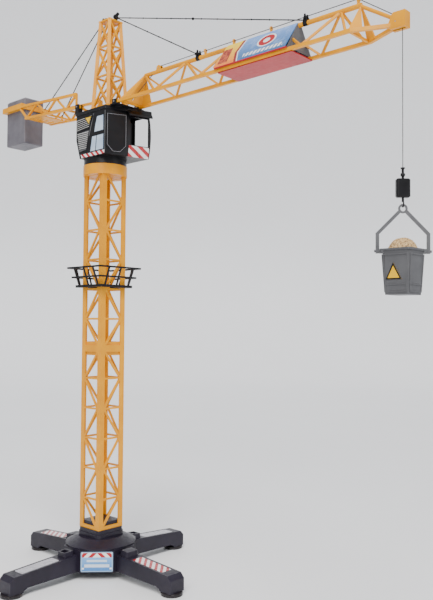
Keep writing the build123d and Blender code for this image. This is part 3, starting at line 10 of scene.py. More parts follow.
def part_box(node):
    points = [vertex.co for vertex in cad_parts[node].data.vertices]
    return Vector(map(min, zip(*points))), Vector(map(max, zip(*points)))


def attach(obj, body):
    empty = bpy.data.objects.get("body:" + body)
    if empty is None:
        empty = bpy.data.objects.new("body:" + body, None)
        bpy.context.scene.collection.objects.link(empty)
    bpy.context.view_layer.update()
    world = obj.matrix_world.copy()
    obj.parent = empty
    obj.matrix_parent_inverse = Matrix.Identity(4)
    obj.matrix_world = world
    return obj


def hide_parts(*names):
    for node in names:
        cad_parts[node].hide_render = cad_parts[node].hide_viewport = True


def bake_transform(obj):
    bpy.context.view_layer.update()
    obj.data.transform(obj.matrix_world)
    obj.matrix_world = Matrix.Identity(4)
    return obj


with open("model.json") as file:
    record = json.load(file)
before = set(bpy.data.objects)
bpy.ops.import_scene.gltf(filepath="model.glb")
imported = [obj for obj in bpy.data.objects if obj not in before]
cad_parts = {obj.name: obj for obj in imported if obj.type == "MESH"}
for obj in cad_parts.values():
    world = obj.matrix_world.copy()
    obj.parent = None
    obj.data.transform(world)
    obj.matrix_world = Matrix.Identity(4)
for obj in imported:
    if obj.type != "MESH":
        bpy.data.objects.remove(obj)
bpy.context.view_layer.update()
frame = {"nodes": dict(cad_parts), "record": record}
nodes = frame["nodes"]
MM = 0.001

SLEWING = "slewing"
CAMERA_AT = (1.04009, -0.847907, 0.431391)
CAMERA_AHEAD = Vector((-0.671, 0.741, 0.035))
CAMERA_RIGHT = Vector((0.742, 0.671, 0.007))
CAMERA_TALL_ANGLE = 44.05  # degrees from the top of the picture to its bottom


# ---- node graph helpers -------------------------------------------------------------------------
class Graph:
    """A material's node tree, with short calls for the nodes that these materials use."""

    def __init__(self, name):
        self.material = bpy.data.materials.new(name)
        self.material.use_nodes = True
        self.tree = self.material.node_tree
        self.tree.nodes.clear()
        self.shader = self.tree.nodes.new("ShaderNodeBsdfPrincipled")
        output = self.tree.nodes.new("ShaderNodeOutputMaterial")
        self.link(self.shader.outputs["BSDF"], output.inputs["Surface"])
        self.point = self.tree.nodes.new("ShaderNodeTexCoord").outputs["Object"]

    def link(self, a, b):
        self.tree.links.new(a, b)

    def put(self, socket, value):
        if isinstance(value, bpy.types.NodeSocket):
            self.link(value, socket)
        else:
            socket.default_value = value

    def math(self, operation, a, b=0.0, c=0.0):
        node = self.tree.nodes.new("ShaderNodeMath")
        node.operation = operation
        for socket, value in zip(node.inputs, (a, b, c)):
            self.put(socket, value)
        return node.outputs[0]

    def noise(self, scale, detail=3.0, stretch=(1, 1, 1)):
        mapping = self.tree.nodes.new("ShaderNodeMapping")
        mapping.inputs["Scale"].default_value = stretch
        self.link(self.point, mapping.inputs["Vector"])
        node = self.tree.nodes.new("ShaderNodeTexNoise")
        node.inputs["Scale"].default_value = scale
        node.inputs["Detail"].default_value = detail
        self.link(mapping.outputs[0], node.inputs["Vector"])
        return node.outputs["Fac"]

    def ranged(self, value, low, high, to_low, to_high):
        node = self.tree.nodes.new("ShaderNodeMapRange")
        for socket, v in zip(node.inputs, (value, low, high, to_low, to_high)):
            self.put(socket, v)
        return node.outputs[0]

    def mix(self, share, a, b):
        node = self.tree.nodes.new("ShaderNodeMix")
        node.data_type = "RGBA"
        self.put(node.inputs[0], share)
        for socket, value in ((node.inputs[6], a), (node.inputs[7], b)):
            self.put(socket, value if isinstance(value, bpy.types.NodeSocket) else (*value, 1.0))
        return node.outputs[2]

    def along(self, origin, direction):
        """Distance of the shaded point from origin along a direction, in millimetres."""
        node = self.tree.nodes.new("ShaderNodeVectorMath")
        node.operation = "SUBTRACT"
        self.link(self.point, node.inputs[0])
        node.inputs[1].default_value = origin
        dot = self.tree.nodes.new("ShaderNodeVectorMath")
        dot.operation = "DOT_PRODUCT"
        self.link(node.outputs[0], dot.inputs[0])
        dot.inputs[1].default_value = Vector(direction) * 1000.0
        return dot.outputs["Value"]

    def above(self, value, limit):
        return self.math("GREATER_THAN", value, limit)

    def both(self, a, b):
        return self.math("MULTIPLY", a, b)

    def either(self, a, b):
        return self.math("MAXIMUM", a, b)

    def between(self, value, low, high):
        return self.both(self.above(value, low), self.math("LESS_THAN", value, high))

    def stripes(self, value, pitch, share=0.5):
        return self.math("LESS_THAN", self.math("FRACT", self.math("DIVIDE", value, pitch)), share)

    def bump(self, height, strength, distance):
        node = self.tree.nodes.new("ShaderNodeBump")
        node.inputs["Strength"].default_value = strength
        node.inputs["Distance"].default_value = distance
        self.link(height, node.inputs["Height"])
        self.link(node.outputs[0], self.shader.inputs["Normal"])

    def colour(self, value):
        self.put(self.shader.inputs["Base Color"], value)

    def finish(self, roughness, metallic=0.0, coat=0.0):
        self.put(self.shader.inputs["Roughness"], roughness)
        self.shader.inputs["Metallic"].default_value = metallic
        self.shader.inputs["Coat Weight"].default_value = coat
        self.shader.inputs["Coat Roughness"].default_value = 0.15
        self.shader.inputs["Specular IOR Level"].default_value = 0.32


def plastic(name, dark, light, rough=(0.28, 0.42), grain=0.08, coat=0.0, scale=35.0):
    """Moulded plastic: a slow drift of colour, scuffs in the gloss and a fine moulded grain."""
    g = Graph(name)
    drift = g.noise(scale, 4.0)
    flow = g.noise(9.0, 2.0, (1, 1, 0.25))
    g.colour(g.mix(g.ranged(g.math("ADD", drift, flow), 0.7, 1.3, 0.0, 1.0), dark, light))
    g.finish(g.ranged(g.noise(160.0, 5.0), 0.3, 0.7, rough[0], rough[1]), coat=coat)
    g.bump(g.noise(2600.0, 2.0), grain, 0.00008)
    return g.material


def steel(name, tint=(0.62, 0.62, 0.64)):
    """Brushed metal, with the brush marks running along Z."""
    g = Graph(name)
    brushed = g.noise(900.0, 4.0, (1, 1, 0.05))
    dark = tuple(0.72 * c for c in tint)
    g.colour(g.mix(brushed, dark, tint))
    g.finish(g.ranged(brushed, 0.3, 0.7, 0.22, 0.42), metallic=1.0)
    g.bump(brushed, 0.1, 0.00005)
    return g.material


def twisted_cord(name, dark, light, pitch=0.0022):
    """A laid cord: strands that run round it on a slant."""
    g = Graph(name)
    split = g.tree.nodes.new("ShaderNodeSeparateXYZ")
    g.link(g.point, split.inputs[0])
    run = g.math("ADD", g.math("ADD", split.outputs[0], split.outputs[2]), split.outputs[1])
    strand = g.math("PINGPONG", run, pitch / 2)
    share = g.ranged(strand, 0.0, pitch / 2, 0.0, 1.0)
    g.colour(g.mix(share, dark, light))
    g.finish(g.ranged(g.noise(500.0), 0.3, 0.7, 0.6, 0.85))
    g.bump(share, 0.5, 0.0002)
    return g.material


def sand_material(name):
    """Grains of mixed tan, with a few dark ones."""
    g = Graph(name)
    grains = g.tree.nodes.new("ShaderNodeTexVoronoi")
    grains.inputs["Scale"].default_value = 900.0
    g.link(g.point, grains.inputs["Vector"])
    tone = g.tree.nodes.new("ShaderNodeSeparateColor")
    g.link(grains.outputs["Color"], tone.inputs[0])
    warm = g.mix(tone.outputs[0], (0.36, 0.21, 0.09), (0.80, 0.56, 0.28))
    g.colour(g.mix(g.above(tone.outputs[1], 0.9), warm, (0.14, 0.08, 0.04)))
    g.finish(g.ranged(tone.outputs[2], 0.0, 1.0, 0.7, 0.95))
    g.bump(grains.outputs["Distance"], 0.8, 0.0006)
    return g.material


# ---- printed graphics ---------------------------------------------------------------------------
RED = (0.42, 0.004, 0.010)
WHITE = (0.82, 0.81, 0.80)
YELLOW = (0.95, 0.66, 0.03)


def glossy_print(g):
    """The surface that all printed plates share: glossy, and worn a little unevenly."""
    g.finish(g.ranged(g.noise(120.0, 4.0), 0.3, 0.7, 0.2, 0.34), coat=0.3)
    g.bump(g.noise(1500.0, 2.0), 0.05, 0.00005)
    return g.material


def striped_print(name, origin, direction, pitch, share=0.5, colours=(RED, WHITE)):
    g = Graph(name)
    bars = g.stripes(g.math("ADD", g.along(origin, direction), 1000 * pitch), pitch, share)
    worn = g.ranged(g.noise(300.0, 5.0), 0.35, 0.6, 0.82, 1.0)
    ink = g.mix(worn, tuple(0.7 * c + 0.2 for c in colours[0]), colours[0])
    g.colour(g.mix(bars, colours[1], ink))
    return glossy_print(g)


def banner_print(name, box):
    """The sign: warm chevrons at the root end, then a blue field with an oval badge and bars."""
    g = Graph(name)
    low, high = box
    across = g.along((low.x, 0, (low.z + high.z) / 2), (1, 0, 0))
    up = g.along((low.x, 0, (low.z + high.z) / 2), (0, 0, 1))
    length = (high.x - low.x) / MM
    fold = g.math("SUBTRACT", across, g.math("MULTIPLY", g.math("ABSOLUTE", up), 0.35))
    sky = g.mix(g.ranged(up, -20.0, 20.0, 0.0, 1.0), (0.035, 0.13, 0.30), (0.17, 0.32, 0.68))
    cloud = g.ranged(g.noise(60.0, 5.0), 0.5, 0.75, 0.0, 0.35)
    field = g.mix(cloud, sky, (0.45, 0.60, 0.85))
    warm = g.mix(g.ranged(up, -18.0, 18.0, 0.0, 1.0), (0.90, 0.20, 0.02), YELLOW)
    field = g.mix(g.math("LESS_THAN", fold, 0.30 * length), field, WHITE)
    field = g.mix(g.math("LESS_THAN", fold, 0.285 * length), field, (0.28, 0.01, 0.01))
    field = g.mix(g.math("LESS_THAN", fold, 0.25 * length), field, warm)
    brick = g.ranged(g.noise(230.0, 6.0), 0.42, 0.58, 0.0, 1.0)
    patch = g.both(g.between(across, 0.05 * length, 0.185 * length), g.between(up, -14.0, 12.0))
    field = g.mix(patch, field, g.mix(brick, (0.25, 0.02, 0.01), (0.55, 0.10, 0.03)))
    badge_x = g.math("DIVIDE", g.math("SUBTRACT", across, 0.66 * length), 15.0)
    badge_y = g.math("DIVIDE", g.math("SUBTRACT", up, 6.0), 9.0)
    ring = g.math("ADD", g.math("POWER", badge_x, 2.0), g.math("POWER", badge_y, 2.0))
    field = g.mix(g.math("LESS_THAN", ring, 1.35), field, WHITE)
    field = g.mix(g.math("LESS_THAN", ring, 0.95), field, RED)
    field = g.mix(g.math("LESS_THAN", ring, 0.18), field, WHITE)
    bars = g.both(g.between(up, -14.0, -8.0), g.between(across, 0.40 * length, 0.92 * length))
    slant = g.math("ADD", across, g.math("MULTIPLY", up, -0.5))
    bars = g.both(bars, g.stripes(slant, 7.5, 0.62))
    field = g.mix(bars, field, WHITE)
    g.colour(field)
    return glossy_print(g)


def hub_label_print(name):
    """Blue plate with a chevron band along its top and two plain pale bars."""
    g = Graph(name)
    low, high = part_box("hub_label_plates")
    middle = (low.z + high.z) / 2
    side = Vector((1, 1, 0)).normalized()
    across = g.math("ABSOLUTE", g.along((0, 0, middle), side))
    up = g.along((0, 0, middle), (0, 0, 1))
    blue = g.mix(g.ranged(up, -15.0, 8.0, 0.0, 1.0), (0.05, 0.20, 0.50), (0.20, 0.42, 0.75))
    edge = g.either(g.above(across, 25.0), g.either(g.above(up, 15.0), g.math("LESS_THAN", up, -15.0)))
    bars = g.both(g.math("LESS_THAN", across, 17.0), g.between(up, 0.0, 3.6))
    bars = g.either(bars, g.both(g.math("LESS_THAN", across, 21.0), g.between(up, -9.0, -4.0)))
    dots = g.both(g.above(across, 21.5), g.between(up, -12.5, -9.5))
    field = g.mix(bars, blue, (0.62, 0.70, 0.80))
    field = g.mix(dots, field, WHITE)
    chevrons = g.stripes(g.math("ADD", g.math("ADD", across, up), 900.0), 15.0)
    band = g.mix(chevrons, WHITE, RED)
    field = g.mix(g.above(up, 7.5), field, band)
    field = g.mix(edge, field, (0.30, 0.45, 0.62))
    g.colour(field)
    return glossy_print(g)


def arm_inlay_print(name):
    """Red and white hazard bars on the arms along X, plain grey on the others."""
    g = Graph(name)
    split = g.tree.nodes.new("ShaderNodeSeparateXYZ")
    g.link(g.point, split.inputs[0])
    x, y = g.math("ABSOLUTE", split.outputs[0]), g.math("ABSOLUTE", split.outputs[1])
    slanted = g.along((0, 0, 0), (1, 0.9, 0))
    bars = g.mix(g.stripes(g.math("ADD", slanted, 900.0), 13.0), WHITE, RED)
    grey = g.mix(g.noise(60.0), (0.34, 0.33, 0.37), (0.46, 0.45, 0.49))
    g.colour(g.mix(g.above(x, y), grey, bars))
    return glossy_print(g)


# ---- materials of the CAD slots -----------------------------------------------------------------
def slot_materials():
    """Every material by name: first one per slot of the record, then the prints and small parts."""
    near_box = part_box("banner_near_panel")
    stripe_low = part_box("windscreen_stripe_plate")[0]
    return {
        "yellow_plastic": plastic("yellow_plastic", (0.66, 0.255, 0.0), (0.84, 0.36, 0.0), (0.3, 0.46)),
        "black_plastic": plastic("black_plastic", (0.003, 0.003, 0.0035), (0.009, 0.008, 0.010)),
        "base_plastic": plastic("base_plastic", (0.008, 0.006, 0.012), (0.018, 0.014, 0.026), (0.3, 0.48)),
        "grey_plastic": plastic("grey_plastic", (0.085, 0.085, 0.09), (0.13, 0.13, 0.135), (0.36, 0.5)),
        "ballast_plastic": plastic("ballast_plastic", (0.085, 0.08, 0.095), (0.17, 0.16, 0.18),
                                   (0.4, 0.55)),
        "white_plastic": plastic("white_plastic", (0.50, 0.49, 0.47), (0.62, 0.61, 0.59)),
        "red_plastic": plastic("red_plastic", (0.34, 0.006, 0.010), (0.46, 0.012, 0.018)),
        "pad_rubber": plastic("pad_rubber", (0.010, 0.008, 0.009), (0.020, 0.016, 0.018), (0.12, 0.24),
                              0.04),
        "screw_steel": steel("screw_steel"),
        "motor_can": steel("motor_can", (0.50, 0.50, 0.52)),
        "rope": twisted_cord("rope", (0.02, 0.02, 0.022), (0.10, 0.10, 0.10)),
        "sand": sand_material("sand"),
        "banner_print": banner_print("banner_print", near_box),
        "stripe_print": striped_print("stripe_print", stripe_low, (0.55, 0.55, 0.9), 15.0),
        "hub_label_print": hub_label_print("hub_label_print"),
        "arm_inlay_print": arm_inlay_print("arm_inlay_print"),
        "window_glass": plastic("window_glass", (0.30, 0.42, 0.60), (0.62, 0.70, 0.80), (0.08, 0.18),
                                0.02, 0.6),
        "edge_grey": plastic("edge_grey", (0.22, 0.22, 0.24), (0.36, 0.36, 0.38), (0.25, 0.4)),
        "yellow_sign": plastic("yellow_sign", (0.75, 0.42, 0.0), (0.86, 0.52, 0.0), (0.25, 0.38), 0.03),
        "band_print": striped_print("band_print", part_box("house_floor")[0], (0.7, -0.7, 0.7), 9.0),
    }


PRINTED = {
    "arm_inlays": "arm_inlay_print",
    "hub_label_plates": "hub_label_print",
    "banner_near_panel": "banner_print",
    "banner_far_panel": "banner_print",
    "windscreen_stripe_plate": "stripe_print",
}


def dress_cad(materials):
    """Gives every CAD node its material, and rounds the edges of all but the rope, sand and hub plates."""
    slots = {row["node"]: row["material_slot"] for row in frame["record"]["subparts"]}
    for name, obj in nodes.items():
        chosen = PRINTED.get(name, slots[name])
        obj.data.materials.clear()
        obj.data.materials.append(materials[chosen])
        for polygon in obj.data.polygons:
            polygon.use_smooth = False
        if chosen in ("rope", "sand", "hub_label_print"):
            continue
        bevel = obj.modifiers.new("soft_edges", "BEVEL")
        bevel.width = 0.00028
        bevel.segments = 2
        bevel.limit_method = "ANGLE"
        bevel.angle_limit = math.radians(28)
        bevel.use_clamp_overlap = True
        bevel.harden_normals = False


# ---- mesh helpers -------------------------------------------------------------------------------
def new_object(name, mesh_build, material, body, bevel=0.0, smooth=False):
    mesh = bpy.data.meshes.new(name)
    work = bmesh.new()
    mesh_build(work)
    bmesh.ops.recalc_face_normals(work, faces=work.faces)
    work.to_mesh(mesh)
    work.free()
    obj = bpy.data.objects.new(name, mesh)
    bpy.context.scene.collection.objects.link(obj)
    mesh.materials.append(material)
    for polygon in mesh.polygons:
        polygon.use_smooth = smooth
    if bevel:
        modifier = obj.modifiers.new("soft_edges", "BEVEL")
        modifier.width = bevel
        modifier.segments = 2
        modifier.limit_method = "ANGLE"
    if body:
        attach(obj, body)
    return obj


def plate(work, outline, normal, thickness):
    """A flat plate on a wall: outline points on the wall, thickened outwards along the normal."""
    lift = Vector(normal).normalized() * thickness
    low = [work.verts.new(p) for p in outline]
    high = [work.verts.new(p + lift) for p in outline]
    count = len(outline)
    work.faces.new(low)
    work.faces.new(high)
    for i in range(count):
        j = (i + 1) % count
        work.faces.new((low[i], low[j], high[j], high[i]))


def border(work, outline, normal, width, thickness):
    """A closed raised strip of a given width that follows the inside of an outline."""
    normal = Vector(normal).normalized()
    lift = normal * thickness
    middle = sum(outline, Vector()) / len(outline)
    inner = []
    count = len(outline)
    for i in range(count):
        a, b, c = outline[i - 1], outline[i], outline[(i + 1) % count]
        first, second = (b - a).normalized(), (c - b).normalized()
        side_1, side_2 = normal.cross(first), normal.cross(second)
        if side_1.dot(middle - b) < 0:
            side_1, side_2 = -side_1, -side_2
        step = (side_1 + side_2) / max(0.3, 1 + side_1.dot(side_2))
        inner.append(b + step * width)
    rings = [[work.verts.new(p + q) for p in loop] for loop, q in (
        (outline, Vector()), (inner, Vector()), (inner, lift), (outline, lift))]
    for r in range(4):
        s = (r + 1) % 4
        for i in range(count):
            j = (i + 1) % count
            work.faces.new((rings[r][i], rings[r][j], rings[s][j], rings[s][i]))


def tube(work, points, radius, sides=12):
    """A closed round bar along a run of points."""
    rings = []
    for i, p in enumerate(points):
        ahead = (points[min(i + 1, len(points) - 1)] - points[max(i - 1, 0)]).normalized()
        side = side - ahead * side.dot(ahead) if rings else ahead.orthogonal()
        side.normalize()
        other = ahead.cross(side)
        turn = [2 * math.pi * k / sides for k in range(sides)]
        spokes = [side * math.cos(t) + other * math.sin(t) for t in turn]
        rings.append([work.verts.new(p + spoke * radius) for spoke in spokes])
    for a, b in zip(rings, rings[1:]):
        for k in range(sides):
            m = (k + 1) % sides
            work.faces.new((a[k], a[m], b[m], b[k]))
    work.faces.new(rings[0])
    work.faces.new(rings[-1])


def mm(x, y, z):
    return Vector((x, y, z)) * MM


# ---- house --------------------------------------------------------------------------------------
LOUVRES = 6
LOUVRE_PITCH = 3.5
GRILLE_SLATS = 9
GRILLE_PITCH = 3.4


def near_wall(points, lift=0.0):
    """Points (x, z) in mm on the house's near wall, which faces -Y."""
    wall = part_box("house_near_shell")[0].y
    return [Vector((x * MM, wall - lift, z * MM)) for x, z in points]


def sticker(name, points, body_material, edge_material, lift, edge=0.0011, height=0.0004):
    """A plate with a raised border, lifted off the near wall; points are (x, z) in mm."""
    face = near_wall(points, lift)
    out = (0, -1, 0)
    new_object(name, lambda w: plate(w, face, out, height), body_material, SLEWING)
    new_object(name + "_edge", lambda w: border(w, face, out, edge, height + 0.0003), edge_material,
               SLEWING, 0.0001)


def window_stickers(m):
    """Two printed windows on the near wall, and the slanted seam in front of the louvres."""
    upper = [(22, 797), (41, 797), (41, 768.5), (14.5, 768.5), (17, 781)]
    lower = [(9, 763.5), (41.5, 763.5), (41.5, 735.5), (3.5, 735.5)]
    sticker("upper_window", upper, m["window_glass"], m["black_plastic"], 0.0)
    sticker("lower_window", lower, m["window_glass"], m["black_plastic"], 0.0)
    split = near_wall([(21.5, 763), (23, 763), (20, 736), (18.5, 736)], 0.0004)
    new_object("lower_window_split", lambda w: plate(w, split, (0, -1, 0), 0.0003), m["black_plastic"],
               SLEWING)
    seam = near_wall([(12.5, 803), (14.2, 803), (1.4, 765), (-0.3, 765)], 0.0)
    new_object("wall_seam", lambda w: plate(w, seam, (0, -1, 0), 0.0005), m["grey_plastic"], SLEWING)


def louvre_triangle(m):
    """A blank yellow triangle, point down, over the louvres."""
    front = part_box("house_near_shell")[0].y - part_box("side_louvres")[0].y
    sticker("louvre_triangle", [(-10, 799), (9, 799), (2, 784.5)], m["yellow_sign"], m["black_plastic"],
            front, 0.0009)


def slat_lip_highlights(m):
    """Painted highlights: pale strips along the lips of the louvres and grille slats, standing in for light
    catching their edges.
    """
    blade_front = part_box("side_louvres")[0].y
    for n in range(LOUVRES):
        z = 777.5 + LOUVRE_PITCH * n
        right = 2.0 + 1.4 * n
        ends = [(-33, z + 1.6), (right, z + 4.2)]
        run = [Vector((x * MM, blade_front, h * MM)) for x, h in ends]
        # painted highlight: a thin pale tube where light catches each lip
        new_object("louvre_lip_%d" % n, lambda w, r=run: tube(w, r, 0.00042, 8), m["white_plastic"],
                   SLEWING)
    slat_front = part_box("side_grille")[0].y
    for n in range(GRILLE_SLATS):
        z = 745.2 + GRILLE_PITCH * n
        spread = 7 * (z - 741) / 33
        run = [Vector((x * MM, slat_front, z * MM)) for x in (-25 - spread, -7 + spread)]
        new_object("grille_lip_%d" % n, lambda w, r=run: tube(w, r, 0.0005, 8), m["white_plastic"], SLEWING)


def door_panel(m):
    """Fine pale line inside the edge of the cab door, and the pale corner edge behind it."""
    a, b = mm(45, -38, 0), mm(61, -1, 0)
    way = (b - a).normalized()
    out = Vector((way.y, -way.x, 0))
    low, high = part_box("cab_door")
    middle = (low + high) / 2
    base = a + way * way.dot(Vector((middle.x, middle.y, 0)) - a)
    deep = max(v.co.dot(out) for v in nodes["cab_door"].data.vertices) - a.dot(out)
    half = (high - low).xy.length / MM / 2 - 1.8
    top, bottom = high.z / MM - 1.3, low.z / MM + 1.3
    corners = [(-half, top), (half, top), (half, bottom + 11), (half - 10.5, bottom), (10.5 - half, bottom),
               (-half, bottom + 11)]
    outline = [base + way * (u * MM) + out * deep + Vector((0, 0, z * MM)) for u, z in corners]
    new_object("door_line", lambda w: border(w, outline, out, 0.00045, 0.00025), m["edge_grey"], SLEWING)
    edge = [Vector((44.3 * MM, -38.1 * MM, z * MM)) for z in (731, 803)]
    new_object("corner_edge", lambda w: tube(w, edge, 0.0006, 10), m["grey_plastic"], SLEWING, smooth=True)


def sill_band(m):
    """Red and white band low on the near wall."""
    band = near_wall([(-22, 734.5), (43, 734.5), (43, 728.2), (-20, 728.2)], 0.0)
    new_object("sill_band", lambda w: plate(w, band, (0, -1, 0), 0.0006), m["band_print"], SLEWING, 0.0001)


# ---- sign ---------------------------------------------------------------------------------------
def banner_ends(m):
    """A grey plate across the sign's end, painted shade standing in for the shaded inside of the far panel,
    and a red rail along the foot of each panel.
    """
    low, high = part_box("banner_near_panel")
    outer_low = Vector((high.x, low.y, low.z))
    outer_high = Vector((high.x, high.y - 0.0002, high.z))
    mirror = Vector((1, -1, 1))
    outline = [outer_low, outer_high, outer_high * mirror, outer_low * mirror]
    # painted shade: this grey end plate stands in for the inside of the far panel seen in shade
    new_object("banner_end", lambda w: plate(w, outline, (1, 0, 0), 0.0008), m["grey_plastic"],
               SLEWING, 0.0002)
    edge = [Vector((low.x + 0.006, low.y - 0.0004, low.z)), Vector((high.x, low.y - 0.0004, low.z))]
    for side in (1, -1):
        run = [Vector((p.x, p.y * side, p.z)) for p in edge]
        new_object("banner_rail_%d" % (side > 0), lambda w, r=run: tube(w, r, 0.0013), m["red_plastic"],
                   SLEWING, smooth=False)


# ---- bucket, sand and rope ----------------------------------------------------------------------
BUCKET_YAW = math.radians(-0.8)
BUCKET_HALF_BOTTOM = 16.8
BUCKET_HALF_RIM = 20.0
HEAP_HALF = 17.6
HEAP_SINK = 0.0012  # how far the heap's edge lies below the rim


def bucket_face(turn):
    """Maps (along, height, lift) in mm on one bucket wall to a point; turn 0 is the wall near +X."""
    low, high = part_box("bucket")
    angle = BUCKET_YAW + turn * math.pi / 2
    out = Vector((math.cos(angle), math.sin(angle), 0))
    way = Vector((-math.sin(angle), math.cos(angle), 0))
    centre = Vector(((low.x + high.x) / 2, 0, 0))

    def at(u, z, lift):
        share = (z * MM - low.z) / (high.z - low.z)
        half = BUCKET_HALF_BOTTOM + (BUCKET_HALF_RIM - BUCKET_HALF_BOTTOM) * share
        return centre + (out * (half + lift) + way * u) * MM + Vector((0, 0, z * MM))

    return at, out


def bucket_frames(m):
    """A raised frame and a low rib on each of the bucket's walls."""
    for turn in range(4):
        at, out = bucket_face(turn)
        outline = [at(-15.2, 475, 0.02), at(15.2, 475, 0.02), at(17.6, 523, 0.02), at(-17.6, 523, 0.02)]
        new_object("bucket_frame_%d" % turn, lambda w, o=outline, n=out: border(w, o, n, 0.0016, 0.0009),
                   m["grey_plastic"], "bucket_body", 0.0003)
        ribs = [at(-14, 484, 0.02), at(14, 484, 0.02), at(14.3, 485.6, 0.02), at(-14.3, 485.6, 0.02)]
        new_object("bucket_rib_%d" % turn, lambda w, o=ribs, n=out: plate(w, o, n, 0.0007),
                   m["grey_plastic"], "bucket_body", 0.0002)


def bucket_triangle(m):
    """A blank yellow triangle with a dark edge on the wall that faces -Y."""
    at, out = bucket_face(-1)
    outline = [at(-14, 491, 0.05), at(8, 491, 0.05), at(-3, 512, 0.05)]
    new_object("bucket_sign", lambda w: plate(w, outline, out, 0.0005), m["yellow_sign"], "bucket_body")
    new_object("bucket_sign_edge", lambda w: border(w, outline, out, 0.0017, 0.0008), m["black_plastic"],
               "bucket_body", 0.0002)


def heap_rise(u, v, rim, top):
    """Height of the rounded heap over its edge, for u and v from -1 to 1 across the bucket."""
    away = min(1.0, (abs(u) ** 2.6 + abs(v) ** 2.6) ** (1 / 2.6))
    return (top - rim + 0.0006) * (1 - away ** 3.0) ** 0.9


def sand_heap(m):
    """A grainy heap that fills the bucket and rounds up over its rim."""
    low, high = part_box("sand_load")
    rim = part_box("bucket")[1].z
    centre = Vector(((low.x + high.x) / 2, (low.y + high.y) / 2, 0))
    rng = random.Random(7)
    steps = 44
    half = HEAP_HALF * MM

    def build(w):
        grid = {}
        for i in range(steps + 1):
            for j in range(steps + 1):
                u, v = 2 * i / steps - 1, 2 * j / steps - 1
                away = min(1.0, (abs(u) ** 2.6 + abs(v) ** 2.6) ** (1 / 2.6))
                rise = heap_rise(u, v, rim, high.z)
                rise += 0.0008 * math.sin(4.1 * u + 1.0) * math.cos(3.3 * v) * (1 - away)
                speck = rng.uniform(-0.00035, 0.00035)
                level = rim - HEAP_SINK + rise + speck
                x, y = u * half, v * half
                turned = Matrix.Rotation(BUCKET_YAW, 3, "Z") @ Vector((x, y, 0))
                grid[i, j] = w.verts.new(centre + turned + Vector((0, 0, level)))
        for i in range(steps):
            for j in range(steps):
                w.faces.new((grid[i, j], grid[i + 1, j], grid[i + 1, j + 1], grid[i, j + 1]))
        loop = [grid[i, 0] for i in range(steps)] + [grid[steps, j] for j in range(steps)]
        loop += [grid[i, steps] for i in range(steps, 0, -1)] + [grid[0, j] for j in range(steps, 0, -1)]
        foot = [w.verts.new((centre.x + (v.co.x - centre.x) * 0.88, centre.y + (v.co.y - centre.y) * 0.88,
                             low.z)) for v in loop]
        for k in range(len(loop)):
            n = (k + 1) % len(loop)
            w.faces.new((loop[k], loop[n], foot[n], foot[k]))
        w.faces.new(foot)

    heap = new_object("sand_heap", build, m["sand"], "bucket_body", smooth=True)
    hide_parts("sand_load")


def sand_grains(m):
    """Loose grains that lie on the heap."""
    low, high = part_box("sand_load")
    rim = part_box("bucket")[1].z
    centre = Vector(((low.x + high.x) / 2, (low.y + high.y) / 2, 0))
    rng = random.Random(11)

    def build(w):
        for _ in range(420):
            u, v = rng.uniform(-0.86, 0.86), rng.uniform(-0.86, 0.86)
            level = rim - HEAP_SINK + heap_rise(u, v, rim, high.z)
            turned = Matrix.Rotation(BUCKET_YAW, 3, "Z") @ (Vector((u, v, 0)) * HEAP_HALF * MM)
            spot = Matrix.Translation(centre + turned + Vector((0, 0, level)))
            spin = Matrix.Rotation(rng.uniform(0, 3.1), 4, Vector((rng.random(), rng.random(), 1)))
            size = rng.uniform(0.0003, 0.0006)
            bmesh.ops.create_icosphere(w, subdivisions=1, radius=size, matrix=spot @ spin)

    grains = new_object("sand_grains", build, m["sand"], "bucket_body", smooth=False)


def laid_rope(m):
    """Three twisted strands between the jib tip and the hook block."""
    low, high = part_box("hoist_rope_drop")
    x = (low.x + high.x) / 2
    strands, steps, pitch, radius = 3, 260, 0.0052, (high.x - low.x) / 2

    def build(w):
        for s in range(strands):
            run = []
            for i in range(steps + 1):
                z = high.z - (high.z - low.z) * i / steps
                turn = 2 * math.pi * ((high.z - z) / pitch + s / strands)
                run.append(Vector((x + 0.46 * radius * math.cos(turn), 0.46 * radius * math.sin(turn), z)))
            tube(w, run, 0.52 * radius, 6)

    rope = new_object("hanging_rope_strands", build, m["rope"], None, smooth=True)
    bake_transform(rope)
    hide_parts("hoist_rope_drop")


# ---- studio -------------------------------------------------------------------------------------
def floor_material(name="studio_floor"):
    g = Graph(name)
    g.colour(g.mix(g.noise(1.4, 3.0), (0.86, 0.86, 0.87), (0.91, 0.91, 0.92)))
    g.finish(g.ranged(g.noise(4.0, 4.0), 0.3, 0.7, 0.55, 0.7))
    g.bump(g.noise(500.0, 2.0), 0.04, 0.0002)
    return g.material


def studio_floor():
    """A pale sheet that curves up far behind the crane."""
    reach, back, bend = 9.0, 4.0, 1.6

    def build(w):
        profile = [(-reach, 0.0)] + [
            (back + bend * math.sin(t * math.pi / 24), bend * (1 - math.cos(t * math.pi / 24)))
            for t in range(13)] + [(back + bend, 9.0)]
        away = Vector((CAMERA_AHEAD.x, CAMERA_AHEAD.y, 0)).normalized()
        side = Vector((away.y, -away.x, 0))
        rows = [[w.verts.new(away * d + side * s + Vector((0, 0, h))) for d, h in profile]
                for s in (-reach, reach)]
        for i in range(len(profile) - 1):
            w.faces.new((rows[0][i], rows[0][i + 1], rows[1][i + 1], rows[1][i]))

    floor = new_object("studio_floor", build, floor_material(), None, smooth=True)


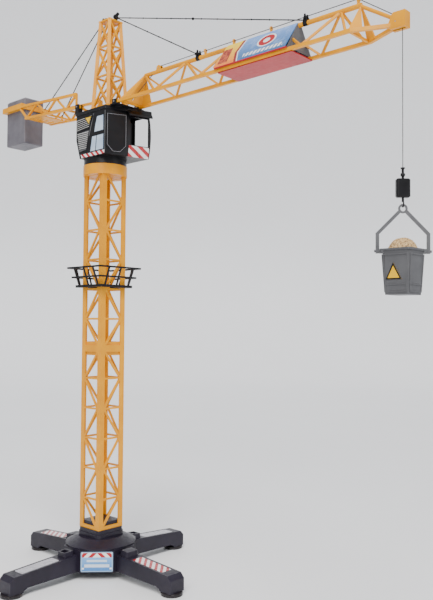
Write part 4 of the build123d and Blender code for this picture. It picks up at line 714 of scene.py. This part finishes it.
def area_light(name, at, target, size, power, tint=(1, 1, 1)):
    lamp = bpy.data.lights.new(name, "AREA")
    lamp.shape = "RECTANGLE"
    lamp.size, lamp.size_y = size
    lamp.energy = power
    lamp.color = tint
    obj = bpy.data.objects.new(name, lamp)
    bpy.context.scene.collection.objects.link(obj)
    obj.location = at
    obj.rotation_euler = (Vector(target) - Vector(at)).to_track_quat("-Z", "Y").to_euler()


def studio_lights():
    """A warm key, a cool fill, a broad soft sun and a pale sky."""
    world = bpy.data.worlds.new("studio")
    bpy.context.scene.world = world
    world.use_nodes = True
    world.node_tree.nodes["Background"].inputs[0].default_value = (0.92, 0.95, 1.0, 1.0)
    world.node_tree.nodes["Background"].inputs[1].default_value = 0.55
    middle = (0.15, 0.0, 0.5)
    area_light("key", (1.4, -2.4, 2.2), middle, (1.3, 1.3), 52, (1.0, 0.98, 0.94))
    area_light("fill", (2.4, 0.6, 1.3), middle, (1.4, 1.8), 9, (0.95, 0.97, 1.0))
    sun = bpy.data.lights.new("sky_light", "SUN")
    sun.energy = 2.6
    sun.angle = math.radians(25)
    lamp = bpy.data.objects.new("sky_light", sun)
    bpy.context.scene.collection.objects.link(lamp)
    lamp.rotation_euler = Vector((-0.5, 0.45, -1.0)).to_track_quat("-Z", "Y").to_euler()


def camera():
    """The camera low in front of the crane, between the -Y and +X arms."""
    data = bpy.data.cameras.new("camera")
    data.sensor_fit = "VERTICAL"
    data.angle_y = math.radians(CAMERA_TALL_ANGLE)
    data.clip_start = 0.01
    obj = bpy.data.objects.new("camera", data)
    bpy.context.scene.collection.objects.link(obj)
    ahead = CAMERA_AHEAD.normalized()
    right = (CAMERA_RIGHT - ahead * CAMERA_RIGHT.dot(ahead)).normalized()
    above = right.cross(ahead)
    turn = Matrix((right, above, -ahead)).transposed().to_4x4()
    obj.matrix_world = Matrix.Translation(CAMERA_AT) @ turn
    bpy.context.scene.camera = obj


# ---- build --------------------------------------------------------------------------------------
materials = slot_materials()
dress_cad(materials)
window_stickers(materials)
louvre_triangle(materials)
slat_lip_highlights(materials)
door_panel(materials)
sill_band(materials)
banner_ends(materials)
bucket_frames(materials)
bucket_triangle(materials)
sand_heap(materials)
sand_grains(materials)
laid_rope(materials)
studio_floor()
studio_lights()
camera()
